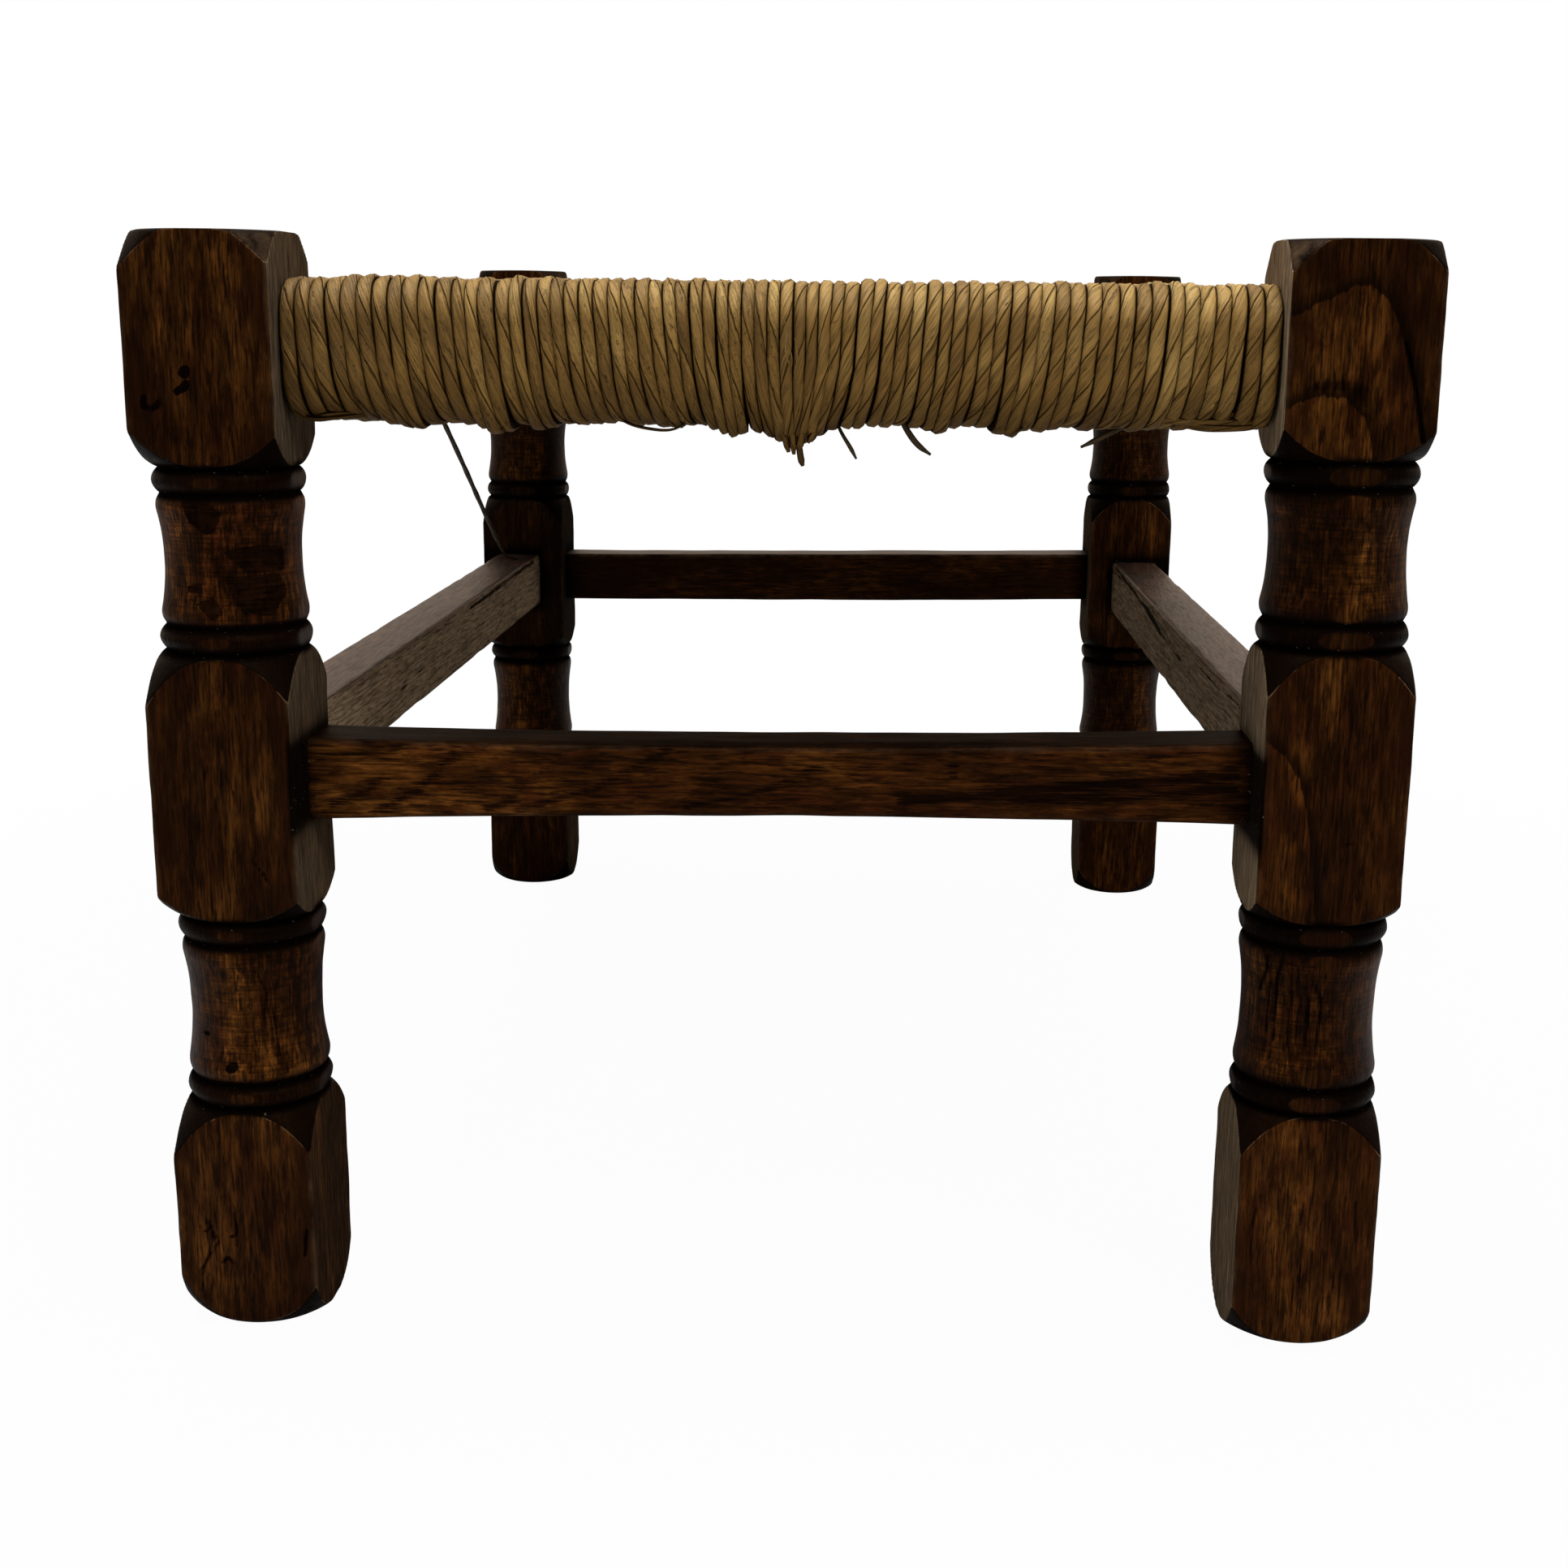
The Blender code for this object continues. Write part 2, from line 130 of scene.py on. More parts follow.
def mapTo(tree, source, scale=(1, 1, 1), shift=(0, 0, 0), turn=(0, 0, 0)):
    made = addNode(tree, "ShaderNodeMapping", {"Vector": source})
    made.inputs["Scale"].default_value = scale
    made.inputs["Location"].default_value = shift
    made.inputs["Rotation"].default_value = [math.radians(angle) for angle in turn]
    return made.outputs["Vector"]


def cloud(tree, source, scale, detail=2.0, roughness=0.5, distortion=0.0):
    values = {"Scale": scale, "Detail": detail, "Roughness": roughness, "Distortion": distortion}
    return addNode(tree, "ShaderNodeTexNoise", {"Vector": source}, values).outputs["Fac"]


def ramp(tree, source, *stops):
    made = addNode(tree, "ShaderNodeValToRGB", {"Fac": source})
    band = made.color_ramp
    while len(band.elements) < len(stops):
        band.elements.new(0.5)
    for element, (place, colour) in zip(band.elements, stops):
        element.position = place
        element.color = (*colour, 1.0) if len(colour) == 3 else colour
    return made.outputs["Color"]


def grey(level):
    return (level, level, level)


def tint(tree, amount, under, over, mode="MIX"):
    made = addNode(tree, "ShaderNodeMix", data_type="RGBA", blend_type=mode)
    for name, source in (("Factor", amount), ("A", under), ("B", over)):
        socket = [item for item in made.inputs if item.name == name and item.enabled][0]
        if hasattr(source, "is_linked"):
            tree.links.new(source, socket)
        else:
            socket.default_value = source if name == "Factor" else (*source, 1.0)
    return [item for item in made.outputs if item.enabled][0]


def maths(tree, operation, first, second=0.5, third=0.0):
    made = addNode(tree, "ShaderNodeMath", operation=operation)
    for socket, source in zip(made.inputs, (first, second, third)):
        if hasattr(source, "is_linked"):
            tree.links.new(source, socket)
        else:
            socket.default_value = source
    return made.outputs["Value"]


def times(tree, first, second):
    return maths(tree, "MULTIPLY", first, second)


def timesPlus(tree, first, second, third):
    return maths(tree, "MULTIPLY_ADD", first, second, third)


def most(tree, first, second):
    return maths(tree, "MAXIMUM", first, second)


def toned(tree, amount, colour, tone):
    return tint(tree, amount, colour, tone, "MULTIPLY")


def within(tree, source, low, high):
    limits = {"From Min": low, "From Max": high}
    return addNode(tree, "ShaderNodeMapRange", {"Value": source}, limits).outputs["Result"]


def axes(tree, source):
    return addNode(tree, "ShaderNodeSeparateXYZ", {0: source}).outputs


def addBump(tree, shader, height, strength, distance):
    bump = addNode(tree, "ShaderNodeBump", {"Height": height}, {"Strength": strength, "Distance": distance})
    tree.links.new(bump.outputs["Normal"], shader.inputs["Normal"])


def attribute(tree, name, output="Fac"):
    return addNode(tree, "ShaderNodeAttribute", attribute_name=name).outputs[output]


# oak: stained nearly black, worn brown on the faces, waxed

oak = {
    "soot": (0.0019, 0.0010, 0.0006),
    "blot": (0.0034, 0.0013, 0.0005),
    "dark": (0.0110, 0.0030, 0.0007),
    "ruddy": (0.0180, 0.0040, 0.0010),
    "brown": (0.0330, 0.0100, 0.0016),
    "worn": (0.0880, 0.0308, 0.0056),
    # pale is rubbed wood, also used to paint highlights along arrises and cut edges
    "pale": (0.1500, 0.0900, 0.0480),
    "dust": (0.30, 0.26, 0.21),
    "raw": (0.0900, 0.0560, 0.0260),
    # dry is the unwaxed inner faces' colour, painted paler than the wood as a painted sheen too
    "dry": (0.1250, 0.0880, 0.0530),
    "reflected": (0.80, 0.42, 0.20),
    "sheen": (1.0, 0.98, 0.96),
    "ringSpacing": 0.0036,
    "ringStretch": 0.10,
    "gloss": 0.34,
    "legShine": 0.09,
    "barShine": 0.10,
    "polishShine": 1.0,
}


# patterns in the wood, drawn out along the grain
oakGrain = {
    "broad": {"stretch": 0.30, "scale": 38.0, "detail": 5.0, "roughness": 0.62, "distortion": 0.5},
    "fibre": {"stretch": 0.022, "scale": 1500.0, "detail": 4.0, "roughness": 0.66},
    "streak": {"stretch": 0.11, "scale": 760.0, "detail": 4.0, "roughness": 0.66, "distortion": 0.35,
               "shift": (0.3, 0.7, 0.0)},
    "pores": {"stretch": 0.10, "scale": 1150.0, "detail": 2.0},
    "mottle": {"stretch": 0.35, "scale": 150.0, "detail": 5.0, "roughness": 0.68, "shift": (0.9, 0.2, 0.0)},
    "ragged": {"stretch": 0.12, "scale": 760.0, "detail": 3.0, "roughness": 0.65},
    "blotch": {"stretch": 0.6, "scale": 95.0, "detail": 5.0, "roughness": 0.65},
    "patchy": {"stretch": 1.0, "scale": 230.0, "detail": 6.0, "roughness": 0.72, "shift": (0.4, 0.1, 0.0)},
}


def grainCloud(tree, grain, pattern):
    make = oakGrain[pattern]
    source = mapTo(tree, grain, scale=(1.0, 1.0, make["stretch"]), shift=make.get("shift", (0, 0, 0)))
    roughness, distortion = make.get("roughness", 0.5), make.get("distortion", 0.0)
    return cloud(tree, source, make["scale"], make["detail"], roughness, distortion)


def frayedEdge(tree, name, pattern, spread):
    # a signed distance in millimetres from the mesh, frayed by a pattern
    return maths(tree, "ADD", attribute(tree, name), timesPlus(tree, pattern, spread, -0.5 * spread))


def oakGround(tree, grainTurn, shift, pith, tilt, kind):
    look = SimpleNamespace()
    look.spot = addNode(tree, "ShaderNodeTexCoord").outputs["Object"]
    look.grain = mapTo(tree, look.spot, turn=grainTurn, shift=shift)
    for pattern in ("broad", "fibre", "streak", "pores", "mottle", "ragged", "blotch"):
        setattr(look, pattern, grainCloud(tree, look.grain, pattern))
    # growth rings, leaning a little so that they come out on a face as long pointed arches
    ringSource = mapTo(tree, look.grain, shift=(*pith, 0.0), turn=(*tilt, 0.0))
    ringSource = mapTo(tree, ringSource, scale=(1.0, 1.0, oak["ringStretch"]))
    rings = addNode(tree, "ShaderNodeTexWave", {"Vector": ringSource}, {
        "Scale": math.pi / 10.0 / oak["ringSpacing"], "Distortion": 3.2, "Detail": 2.0,
        "Detail Scale": 0.40, "Detail Roughness": 0.55,
    }, wave_type="RINGS", rings_direction="Z").outputs["Fac"]
    if kind == "rail":
        colour = ramp(tree, look.broad, (0.34, oak["brown"]), (0.66, oak["raw"]))
    else:
        colour = ramp(tree, look.broad, (0.35, oak["dark"]), (0.50, oak["brown"]), (0.66, oak["worn"]))
        ruddy = ramp(tree, look.mottle, (0.48, grey(0.0)), (0.60, grey(0.80)))
        colour = tint(tree, ruddy, colour, oak["ruddy"])
    ringTone = ramp(tree, rings, (0.10, grey(0.50)), (0.55, grey(1.0)))
    blotchTone = ramp(tree, look.blotch, (0.36, grey(0.50)), (0.56, grey(1.0)), (0.72, grey(1.25)))
    look.fibreTone = ramp(tree, look.fibre, (0.32, grey(0.35)), (0.64, grey(1.40)))
    look.streakTone = ramp(tree, look.streak, (0.38, grey(0.34)), (0.50, grey(1.0)), (0.62, grey(1.65)))
    look.poreTone = ramp(tree, look.pores, (0.39, grey(0.18)), (0.46, grey(1.0)))
    tones = ((0.55, ringTone), (0.85, look.fibreTone), (0.8, look.streakTone), (0.8, blotchTone),
             (0.8, look.poreTone))
    for amount, tone in tones:
        colour = toned(tree, amount, colour, tone)
    look.colour = colour
    look.height = timesPlus(tree, look.poreTone, 0.6, look.fibre)
    look.gloss = ramp(tree, look.fibre, (0.30, grey(oak["gloss"] + 0.20)), (0.65, grey(oak["gloss"])))
    return look


def markFaces(tree, look, kind):
    # grime carries dirt, and painted shade in the grooves and at the joints
    look.grime = attribute(tree, "grime")
    look.matt = within(tree, attribute(tree, "inner"), -0.1, 0.2)
    rim = times(tree, attribute(tree, "rim"), ramp(tree, look.blotch, (0.34, grey(1.0)), (0.62, grey(0.45))))
    look.colour = tint(tree, rim, look.colour, oak["dark"])
    # ragged dark pores, knots and cracks where the mark attribute is above nought
    frayed, spread, depth = (look.ragged, 1.8, 0.97) if kind == "leg" else (look.fibre, 11.0, 0.84)
    look.marked = within(tree, frayedEdge(tree, "mark", frayed, spread), -0.1, 0.5)
    look.colour = tint(tree, times(tree, look.marked, depth), look.colour, oak["soot"])
    look.height = timesPlus(tree, look.marked, -0.8, look.height)


def figureLeg(tree, look):
    # arched figures, lighter inside a ragged dark rim
    for arch in archOutlines:
        away = within(tree, frayedEdge(tree, arch, look.ragged, 3.0), -8.0, 8.0)
        tone = ramp(tree, away, (0.0, grey(1.0)), (0.25, grey(0.80)), (0.43, grey(0.22)), (0.485, grey(0.18)),
                    (0.51, grey(1.5)), (0.75, grey(1.25)))
        look.colour = toned(tree, 0.95, look.colour, tone)
    blotted = times(tree, within(tree, frayedEdge(tree, "blot", look.ragged, 1.6), -0.1, 0.3), 0.93)
    look.colour = tint(tree, blotted, look.colour, oak["blot"])
    look.marked = most(tree, look.marked, blotted)


def stainTurnings(tree, look):
    # lathe-cut end grain drinks more stain than the flat faces
    look.turned = within(tree, frayedEdge(tree, "cut", look.blotch, 0.5), 0.10, -0.20)
    stain = times(tree, look.turned, attribute(tree, "stain"))
    smooth = times(tree, look.turned, maths(tree, "SUBTRACT", 1.0, attribute(tree, "stain")))
    lathe = cloud(tree, mapTo(tree, look.spot, scale=(0.05, 0.05, 1.0)), 1100.0, 4.0, 0.70)
    patchy = grainCloud(tree, look.grain, "patchy")
    latheTone = ramp(tree, lathe, (0.37, grey(0.46)), (0.52, grey(1.0)), (0.64, grey(1.55)))
    patchTone = ramp(tree, patchy, (0.40, grey(0.42)), (0.52, grey(1.0)), (0.64, grey(1.40)))
    for tone in (latheTone, patchTone):
        look.colour = toned(tree, smooth, look.colour, tone)
    look.height = timesPlus(tree, times(tree, smooth, lathe), 0.8, look.height)
    look.colour = tint(tree, times(tree, stain, 0.94), look.colour, oak["soot"])
    look.shine = timesPlus(tree, stain, -0.7 * oak["legShine"], oak["legShine"])
    # a pale broken line along the edge of each cut, partly wear and partly a painted highlight
    line = ramp(tree, maths(tree, "ABSOLUTE", attribute(tree, "cut")), (0.05, grey(1.0)), (0.24, grey(0.0)))
    line = times(tree, line, attribute(tree, "lip"))
    line = times(tree, line, ramp(tree, look.blotch, (0.50, grey(0.0)), (0.60, grey(0.55))))
    look.colour = tint(tree, line, look.colour, oak["pale"])


def polishBar(tree, shader, look):
    # rubbed bright on the ridges of the grain only
    polish = ramp(tree, look.streak, (0.40, grey(0.35)), (0.58, grey(1.0)))
    polish = times(tree, attribute(tree, "polish"), polish)
    look.shine = timesPlus(tree, polish, oak["polishShine"] - oak["barShine"], oak["barShine"])
    look.gloss = tint(tree, polish, look.gloss, grey(0.42))
    tree.links.new(tint(tree, polish, oak["reflected"], oak["sheen"]), shader.inputs["Specular Tint"])


def dryFaces(tree, look, kind):
    # inner faces are dry and greyed, without wax, and painted paler too, a painted sheen of the bright
    # surroundings
    if kind == "leg":
        look.matt = times(tree, look.matt, maths(tree, "SUBTRACT", 1.0, look.turned))
    bareAndSheen = oak["dry"]
    for amount, tone in ((0.9, look.fibreTone), (0.42, look.streakTone), (0.5, look.poreTone)):
        bareAndSheen = toned(tree, amount, bareAndSheen, tone)
    look.colour = tint(tree, times(tree, attribute(tree, "dry"), look.matt), look.colour, bareAndSheen)
    palerWithSheen = timesPlus(tree, times(tree, attribute(tree, "bleachAndSheen"), look.matt), 1.0, 1.0)
    look.colour = toned(tree, 1.0, look.colour, times(tree, attribute(tree, "tone"), palerWithSheen))
    if kind == "bar":
        cracked = within(tree, frayedEdge(tree, "crack", look.ragged, 1.6), -0.1, 0.3)
        look.colour = tint(tree, times(tree, cracked, 0.95), look.colour, oak["soot"])
        look.height = timesPlus(tree, cracked, -1.5, look.height)
        look.marked = most(tree, look.marked, cracked)


def soilFaces(tree, shader, look):
    # pale where rubbed and where arris highlights are painted, black and dusty where dirt lies and where
    # shade is painted in grooves and joints, and dull where there is no wax
    edge = ramp(tree, look.blotch, (0.42, grey(0.0)), (0.62, grey(1.0)))
    edge = times(tree, attribute(tree, "wearAndHighlight"), edge)
    look.colour = tint(tree, times(tree, edge, 0.75), look.colour, oak["pale"])
    look.colour = tint(tree, look.grime, look.colour, oak["soot"])
    speck = cloud(tree, look.spot, 900.0, 1.0)
    dust = times(tree, look.grime, ramp(tree, speck, (0.735, grey(0.0)), (0.77, grey(0.32))))
    look.colour = tint(tree, dust, look.colour, oak["dust"])
    look.gloss = tint(tree, look.matt, look.gloss, grey(0.80))
    look.gloss = tint(tree, look.grime, look.gloss, grey(0.75))
    dull = most(tree, look.matt, most(tree, look.grime, look.marked))
    shine = times(tree, look.shine, timesPlus(tree, dull, -0.95, 1.0))
    tree.links.new(shine, shader.inputs["Specular IOR Level"])


def makeOak(name, grainTurn, shift, pith, tilt, kind):
    material, tree, shader = newMaterial(name)
    shader.inputs["Specular IOR Level"].default_value = oak["barShine"]
    shader.inputs["Specular Tint"].default_value = (*oak["reflected"], 1.0)
    look = oakGround(tree, grainTurn, shift, pith, tilt, kind)
    if kind != "rail":
        markFaces(tree, look, kind)
        if kind == "leg":
            figureLeg(tree, look)
            stainTurnings(tree, look)
        else:
            polishBar(tree, shader, look)
        dryFaces(tree, look, kind)
        soilFaces(tree, shader, look)
    tree.links.new(look.colour, shader.inputs["Base Color"])
    tree.links.new(look.gloss, shader.inputs["Roughness"])
    addBump(tree, shader, look.height, 0.35, 0.0004)
    return material


def outlineGap(x, z, outline, closed):
    # distance from an outline in millimetres, above nought inside a closed one
    best, inside = 1000.0, False
    for (x0, z0), (x1, z1) in zip(outline, outline[1:] + outline[:1] if closed else outline[1:]):
        runX, runZ = x1 - x0, z1 - z0
        share = min(max(((x - x0) * runX + (z - z0) * runZ) / (runX * runX + runZ * runZ), 0.0), 1.0)
        best = min(best, math.hypot(x - x0 - share * runX, z - z0 - share * runZ))
        if closed and (z0 > z) != (z1 > z) and x < runX * (z - z0) / runZ + x0:
            inside = not inside
    return best if inside else -best


# legs: square blocks with two turned lengths, all from one lathe outline held inside the square

legs = {
    "side": 0.045,
    "height": 0.352,
    "centre": (0.172, 0.2715),
    "beadWidth": 0.00785,
    "lowerHollow": 0.047,
    "middleBlock": 0.0856,
    "upperHollow": 0.041,
    "topBlock": 0.0676,
    "beadRadius": 0.0235,
    "swellRadius": 0.0232,
    "lipRound": 0.0034,
    "lipDrop": 0.0009,
    "waistRadius": 0.0209,
    "grooveRadius": 0.0212,
    "swellMargin": 0.0022,
    "footRound": 0.031,
    "footFlat": 0.0165,
    "footShoulder": 0.034,
    "middleBelow": 0.018,
    "middleAbove": 0.034,
    "topShoulder": 0.024,
    "topChamfer": 0.0135,
    "topFlat": 0.02575,
    "arris": 0.0008,
    "softness": 0.00020,
    "around": 192,
    "ringStep": 0.0017,
    "cornerPull": 0.35,
    "offAxisReach": 0.018,
    "dent": 0.00022,
    "footWearReach": (0.022, 0.030),
    "grooveDirtAndShade": 0.0018,
    "grooveReach": 0.0240,
    "floorDirt": 0.002,
    "beadFade": 0.001,
    "hollowMargin": 0.0012,
    "arrisWearAndHighlight": 0.40,
    "sharpFrom": 22.0,
}

# soot and painted shade round the places where the stretchers go in
jointSootAndShade = {
    "face": 0.0212,
    "frontInset": 0.0075,
    "otherInset": -0.0025,
    "endLow": 0.1699,
    "sideLow": 0.1669,
    "high": 0.1965,
    "outerReach": 0.0305,
    "innerReach": 0.012,
    "fade": 0.0034,
    "depth": 0.97,
}

# tones run from the foot up through the turned lengths, and dry is how bare the inner faces of the foot,
# middle and top blocks are, and how much paler they are painted as a painted sheen
legMakes = {
    "front_left": {
        "rise": -0.003, "footWear": 0.0, "beadStain": 0.70, "collar": 0.002, "offAxis": (0.0007, 0.0006),
        "tones": (1.20, 1.60, 1.00, 2.25, 0.95), "dry": (0.12, 0.55, 0.70), "rubbed": 0.30,
        "seed": 3.1, "pith": (0.062, 0.034), "tilt": (2.0, -3.0), "shift": (0.0, 0.0, 0.4),
    },
    "front_right": {
        "rise": 0.003, "footWear": 0.0024, "beadStain": 0.93, "collar": 0.005, "offAxis": (-0.0002, -0.0005),
        "tones": (1.70, 1.50, 1.35, 1.15, 0.92), "dry": (0.65, 1.20, 2.1), "rubbed": 0.55,
        "seed": 8.7, "pith": (-0.168, 0.330), "tilt": (-5.0, 1.5), "shift": (0.0, 0.0, 1.7),
    },
    # the back left leg's middle block is toned down, painted shade under the seat
    "back_left": {
        "rise": -0.001, "footWear": 0.0, "beadStain": 0.9, "collar": 0.003, "offAxis": (0.0003, 0.0002),
        "tones": (1.20, 1.20, 0.36, 0.75, 0.90), "dry": (0.40, 0.50, 0.40), "rubbed": 0.15,
        "seed": 14.2, "pith": (0.21, -0.24), "tilt": (2.5, 2.0), "shift": (0.0, 0.0, 3.2),
    },
    "back_right": {
        "rise": 0.003, "footWear": 0.0, "beadStain": 0.9, "collar": 0.003, "offAxis": (-0.0003, 0.0002),
        "tones": (1.35, 1.10, 1.00, 0.90, 0.90), "dry": (0.40, 0.50, 0.40), "rubbed": 0.15,
        "seed": 21.9, "pith": (-0.10, -0.24), "tilt": (-2.0, -2.5), "shift": (0.0, 0.0, 4.9),
    },
}

# figure and damage on the outer faces, in millimetres from the leg's middle and above the floor
archOutlines = {
    "archOne": [
        (-30, 275), (-30, 328), (-21.2, 329.6), (-14.7, 333.2), (-6.7, 336.5), (-3.8, 338.5), (1.1, 338.2),
        (5.5, 334.3), (9.3, 327.0), (13.1, 315.6), (15.8, 307.4), (18.2, 291.6), (19.4, 275),
    ],
    "archTwo": [
        (-30, 275), (-30, 300), (-21.6, 302.8), (-17.6, 305.4), (-11.8, 306.9), (-5.1, 306.2), (1.2, 300.6),
        (3.3, 293.9), (5.4, 275),
    ],
    "archThree": [
        (-30, 145), (-30, 206), (-22.4, 203.8), (-17.8, 200.5), (-14.2, 196.6), (-11.1, 191.0), (-9.0, 183.0),
        (-6.9, 172.6), (-4.8, 157.6), (-3.6, 145),
    ],
}

paleBlaze = [(-5.9, 341.6), (-9.0, 347.1), (-3.3, 351.4), (5.4, 351.0), (7.5, 345.0), (0.1, 340.8)]

legMarks = {
    "front_left": (
        (1.7, [(-3.7, 310.6), (-4.0, 310.1)]),
        (1.15, [(-3.6, 306.3), (-6.5, 304.5)]),
        (0.95, [(-16.4, 302.6), (-16.8, 300.4), (-14.6, 299.2), (-12.6, 300.2), (-12.2, 302.0)]),
        (0.5, [(9.0, 159.9), (12.1, 155.4), (13.7, 153.1)]),
        (0.3, [(-4.6, 189.6), (-5.6, 182.7)]),
        (0.3, [(4.0, 182.9), (4.4, 169.1)]),
        (0.35, [(6.7, 125.4), (9.6, 115.9), (8.6, 106.2)]),
        (0.7, [(-11.4, 101.0), (-9.9, 101.0)]),
        (1.5, [(-2.6, 90.4), (-1.2, 91.2)]),
        (0.25, [(11.1, 109.9), (12.6, 94.2)]),
        (0.5, [(-12.8, 38.5), (-9.0, 31.0), (-15.6, 20.7)]),
        (0.5, [(-3.8, 41.3), (-3.0, 33.7), (-5.4, 32.4)]),
        (0.5, [(-8.3, 23.4), (-6.4, 25.4), (-4.2, 22.9)]),
        (0.8, [(20.1, 35.6), (19.1, 26.7)]),
        (0.4, [(-15.0, 10.5), (-15.7, 18.1), (-10.8, 32.3), (-15.3, 35.9)]),
    ),
    "front_right": (
        (0.8, [(11.3, 323.0), (15.2, 309.0), (18.4, 294.1)]),
        (0.6, [(3.8, 171.2), (6.4, 172.2)]),
        (0.1, [(-4.4, 214.8), (-3.1, 203.6), (-0.2, 190.0), (1.3, 173.9)]),
        (0.1, [(4.3, 223.9), (7.0, 208.3), (10.2, 189.0), (12.6, 167.2)]),
        (0.40, [(-17.7, 138.0), (-16.1, 129.7), (-17.3, 121.3)]),
        (0.30, [(-15.4, 134.0), (-14.7, 123.0), (-15.3, 107.5)]),
        (0.40, [(-11.8, 136.9), (-13.1, 127.4), (-13.0, 105.6)]),
        (0.35, [(-9.7, 135.8), (-8.9, 121.5), (-9.2, 104.5)]),
        (0.40, [(-7.9, 131.9), (-6.4, 120.3), (-6.8, 108.3)]),
        (0.35, [(-5.4, 129.0), (-3.6, 119.5), (-4.2, 106.0)]),
        (0.50, [(-2.5, 126.4), (0.2, 120.4), (-0.5, 103.5)]),
        (0.30, [(0.8, 130.5), (2.6, 118.0), (2.2, 109.0)]),
        (0.30, [(-12.5, 133.0), (-7.0, 131.6), (-1.0, 132.4)]),
        (0.3, [(-15.5, 55.5), (-17.7, 42.9), (-15.8, 20.0)]),
        (0.4, [(-9.3, 58.2), (-9.5, 43.1), (-8.7, 32.9)]),
        (0.3, [(-2.8, 57.1), (-1.2, 40.8), (-1.3, 22.9)]),
        (0.3, [(9.3, 48.6), (9.0, 35.9), (10.4, 23.2)]),
        (0.3, [(15.3, 53.8), (15.8, 38.7)]),
    ),
    "back_left": ((0.4, [(4, 300), (6, 320)]), (0.4, [(-8, 60), (-6, 30)])),
    "back_right": ((0.4, [(-6, 296), (-4, 318)]), (0.4, [(5, 62), (7, 28)])),
}

# what the legs' vertices carry for the finish, besides the arches
legLayers = ("grime", "wearAndHighlight", "cut", "stain", "lip", "rim", "mark", "blot", "dry", "inner", "bleachAndSheen", "tone")

# a fringe of dark fibres, and darker blots on the turned lengths, as outlines
legFringes = {
    "front_right": (
        [(-18.5, 305.0), (-12.0, 307.0), (-5.0, 306.4), (1.4, 301.0), (3.4, 294.5), (6.2, 294.0),
         (6.0, 305.0), (3.0, 311.5), (-4.0, 312.8), (-11.0, 313.0), (-18.0, 311.6)],
    ),
}

legBlots = {
    "front_left": (
        [(-9.2, 272.2), (-2.0, 273.5), (4.8, 268.7), (2.0, 262.5), (-0.8, 261.6), (-5.8, 265.3),
         (-7.9, 270.8)],
        [(3.5, 256.9), (14.0, 258.9), (25.3, 256.2), (24.0, 250.6), (10.7, 249.4)],
        [(-8.6, 246.3), (-2.8, 246.9), (-2.5, 244.0), (-8.2, 244.0)],
        [(4.0, 249.0), (18.0, 250.0), (20.5, 244.0), (17.0, 236.5), (9.0, 238.0), (6.0, 243.0)],
        [(-5.6, 240.7), (0.8, 243.1), (3.8, 238.0), (0.3, 235.5)],
    ),
}


def turnedEnd(tip, corner, tipRadius, steps, conical=True):
    # a shoulder is nearly a cone at its tip, and a foot is round
    reach = legs["side"] * 0.75
    points = []
    for step in range(steps + 1):
        angle = math.pi / 2 * step / steps
        share = math.sin(angle)
        rise = 0.56 * share ** 1.5 if conical else 1.0 - math.cos(angle)
        points.append((tipRadius + (reach - tipRadius) * share, tip + (corner - tip) * rise))
    return points


def turnedLength(bottom, hollow):
    groove, bead, width = legs["grooveRadius"], legs["beadRadius"], legs["beadWidth"]
    beads = []
    for start in (bottom, bottom + width + hollow):
        crown = []
        for step in range(13):
            share = (1 - math.cos(math.pi * step / 12)) / 2
            swelled = math.sin(math.pi * share) ** 0.8
            crown.append((groove + (bead - groove) * swelled, start + width * share))
        beads.append(crown)
    low = bottom + width + legs["swellMargin"]
    run = hollow - 2 * legs["swellMargin"]
    waist = []
    for step in range(45):
        share = step / 44
        bow = abs(2 * share - 1) ** 2.2
        lip = max(0.0, 1.0 - min(share, 1.0 - share) * run / legs["lipRound"])
        radius = legs["waistRadius"] + (legs["swellRadius"] - legs["waistRadius"]) * bow
        waist.append((radius - legs["lipDrop"] * lip ** 2, low + run * share))
    return beads[0] + waist + beads[1]


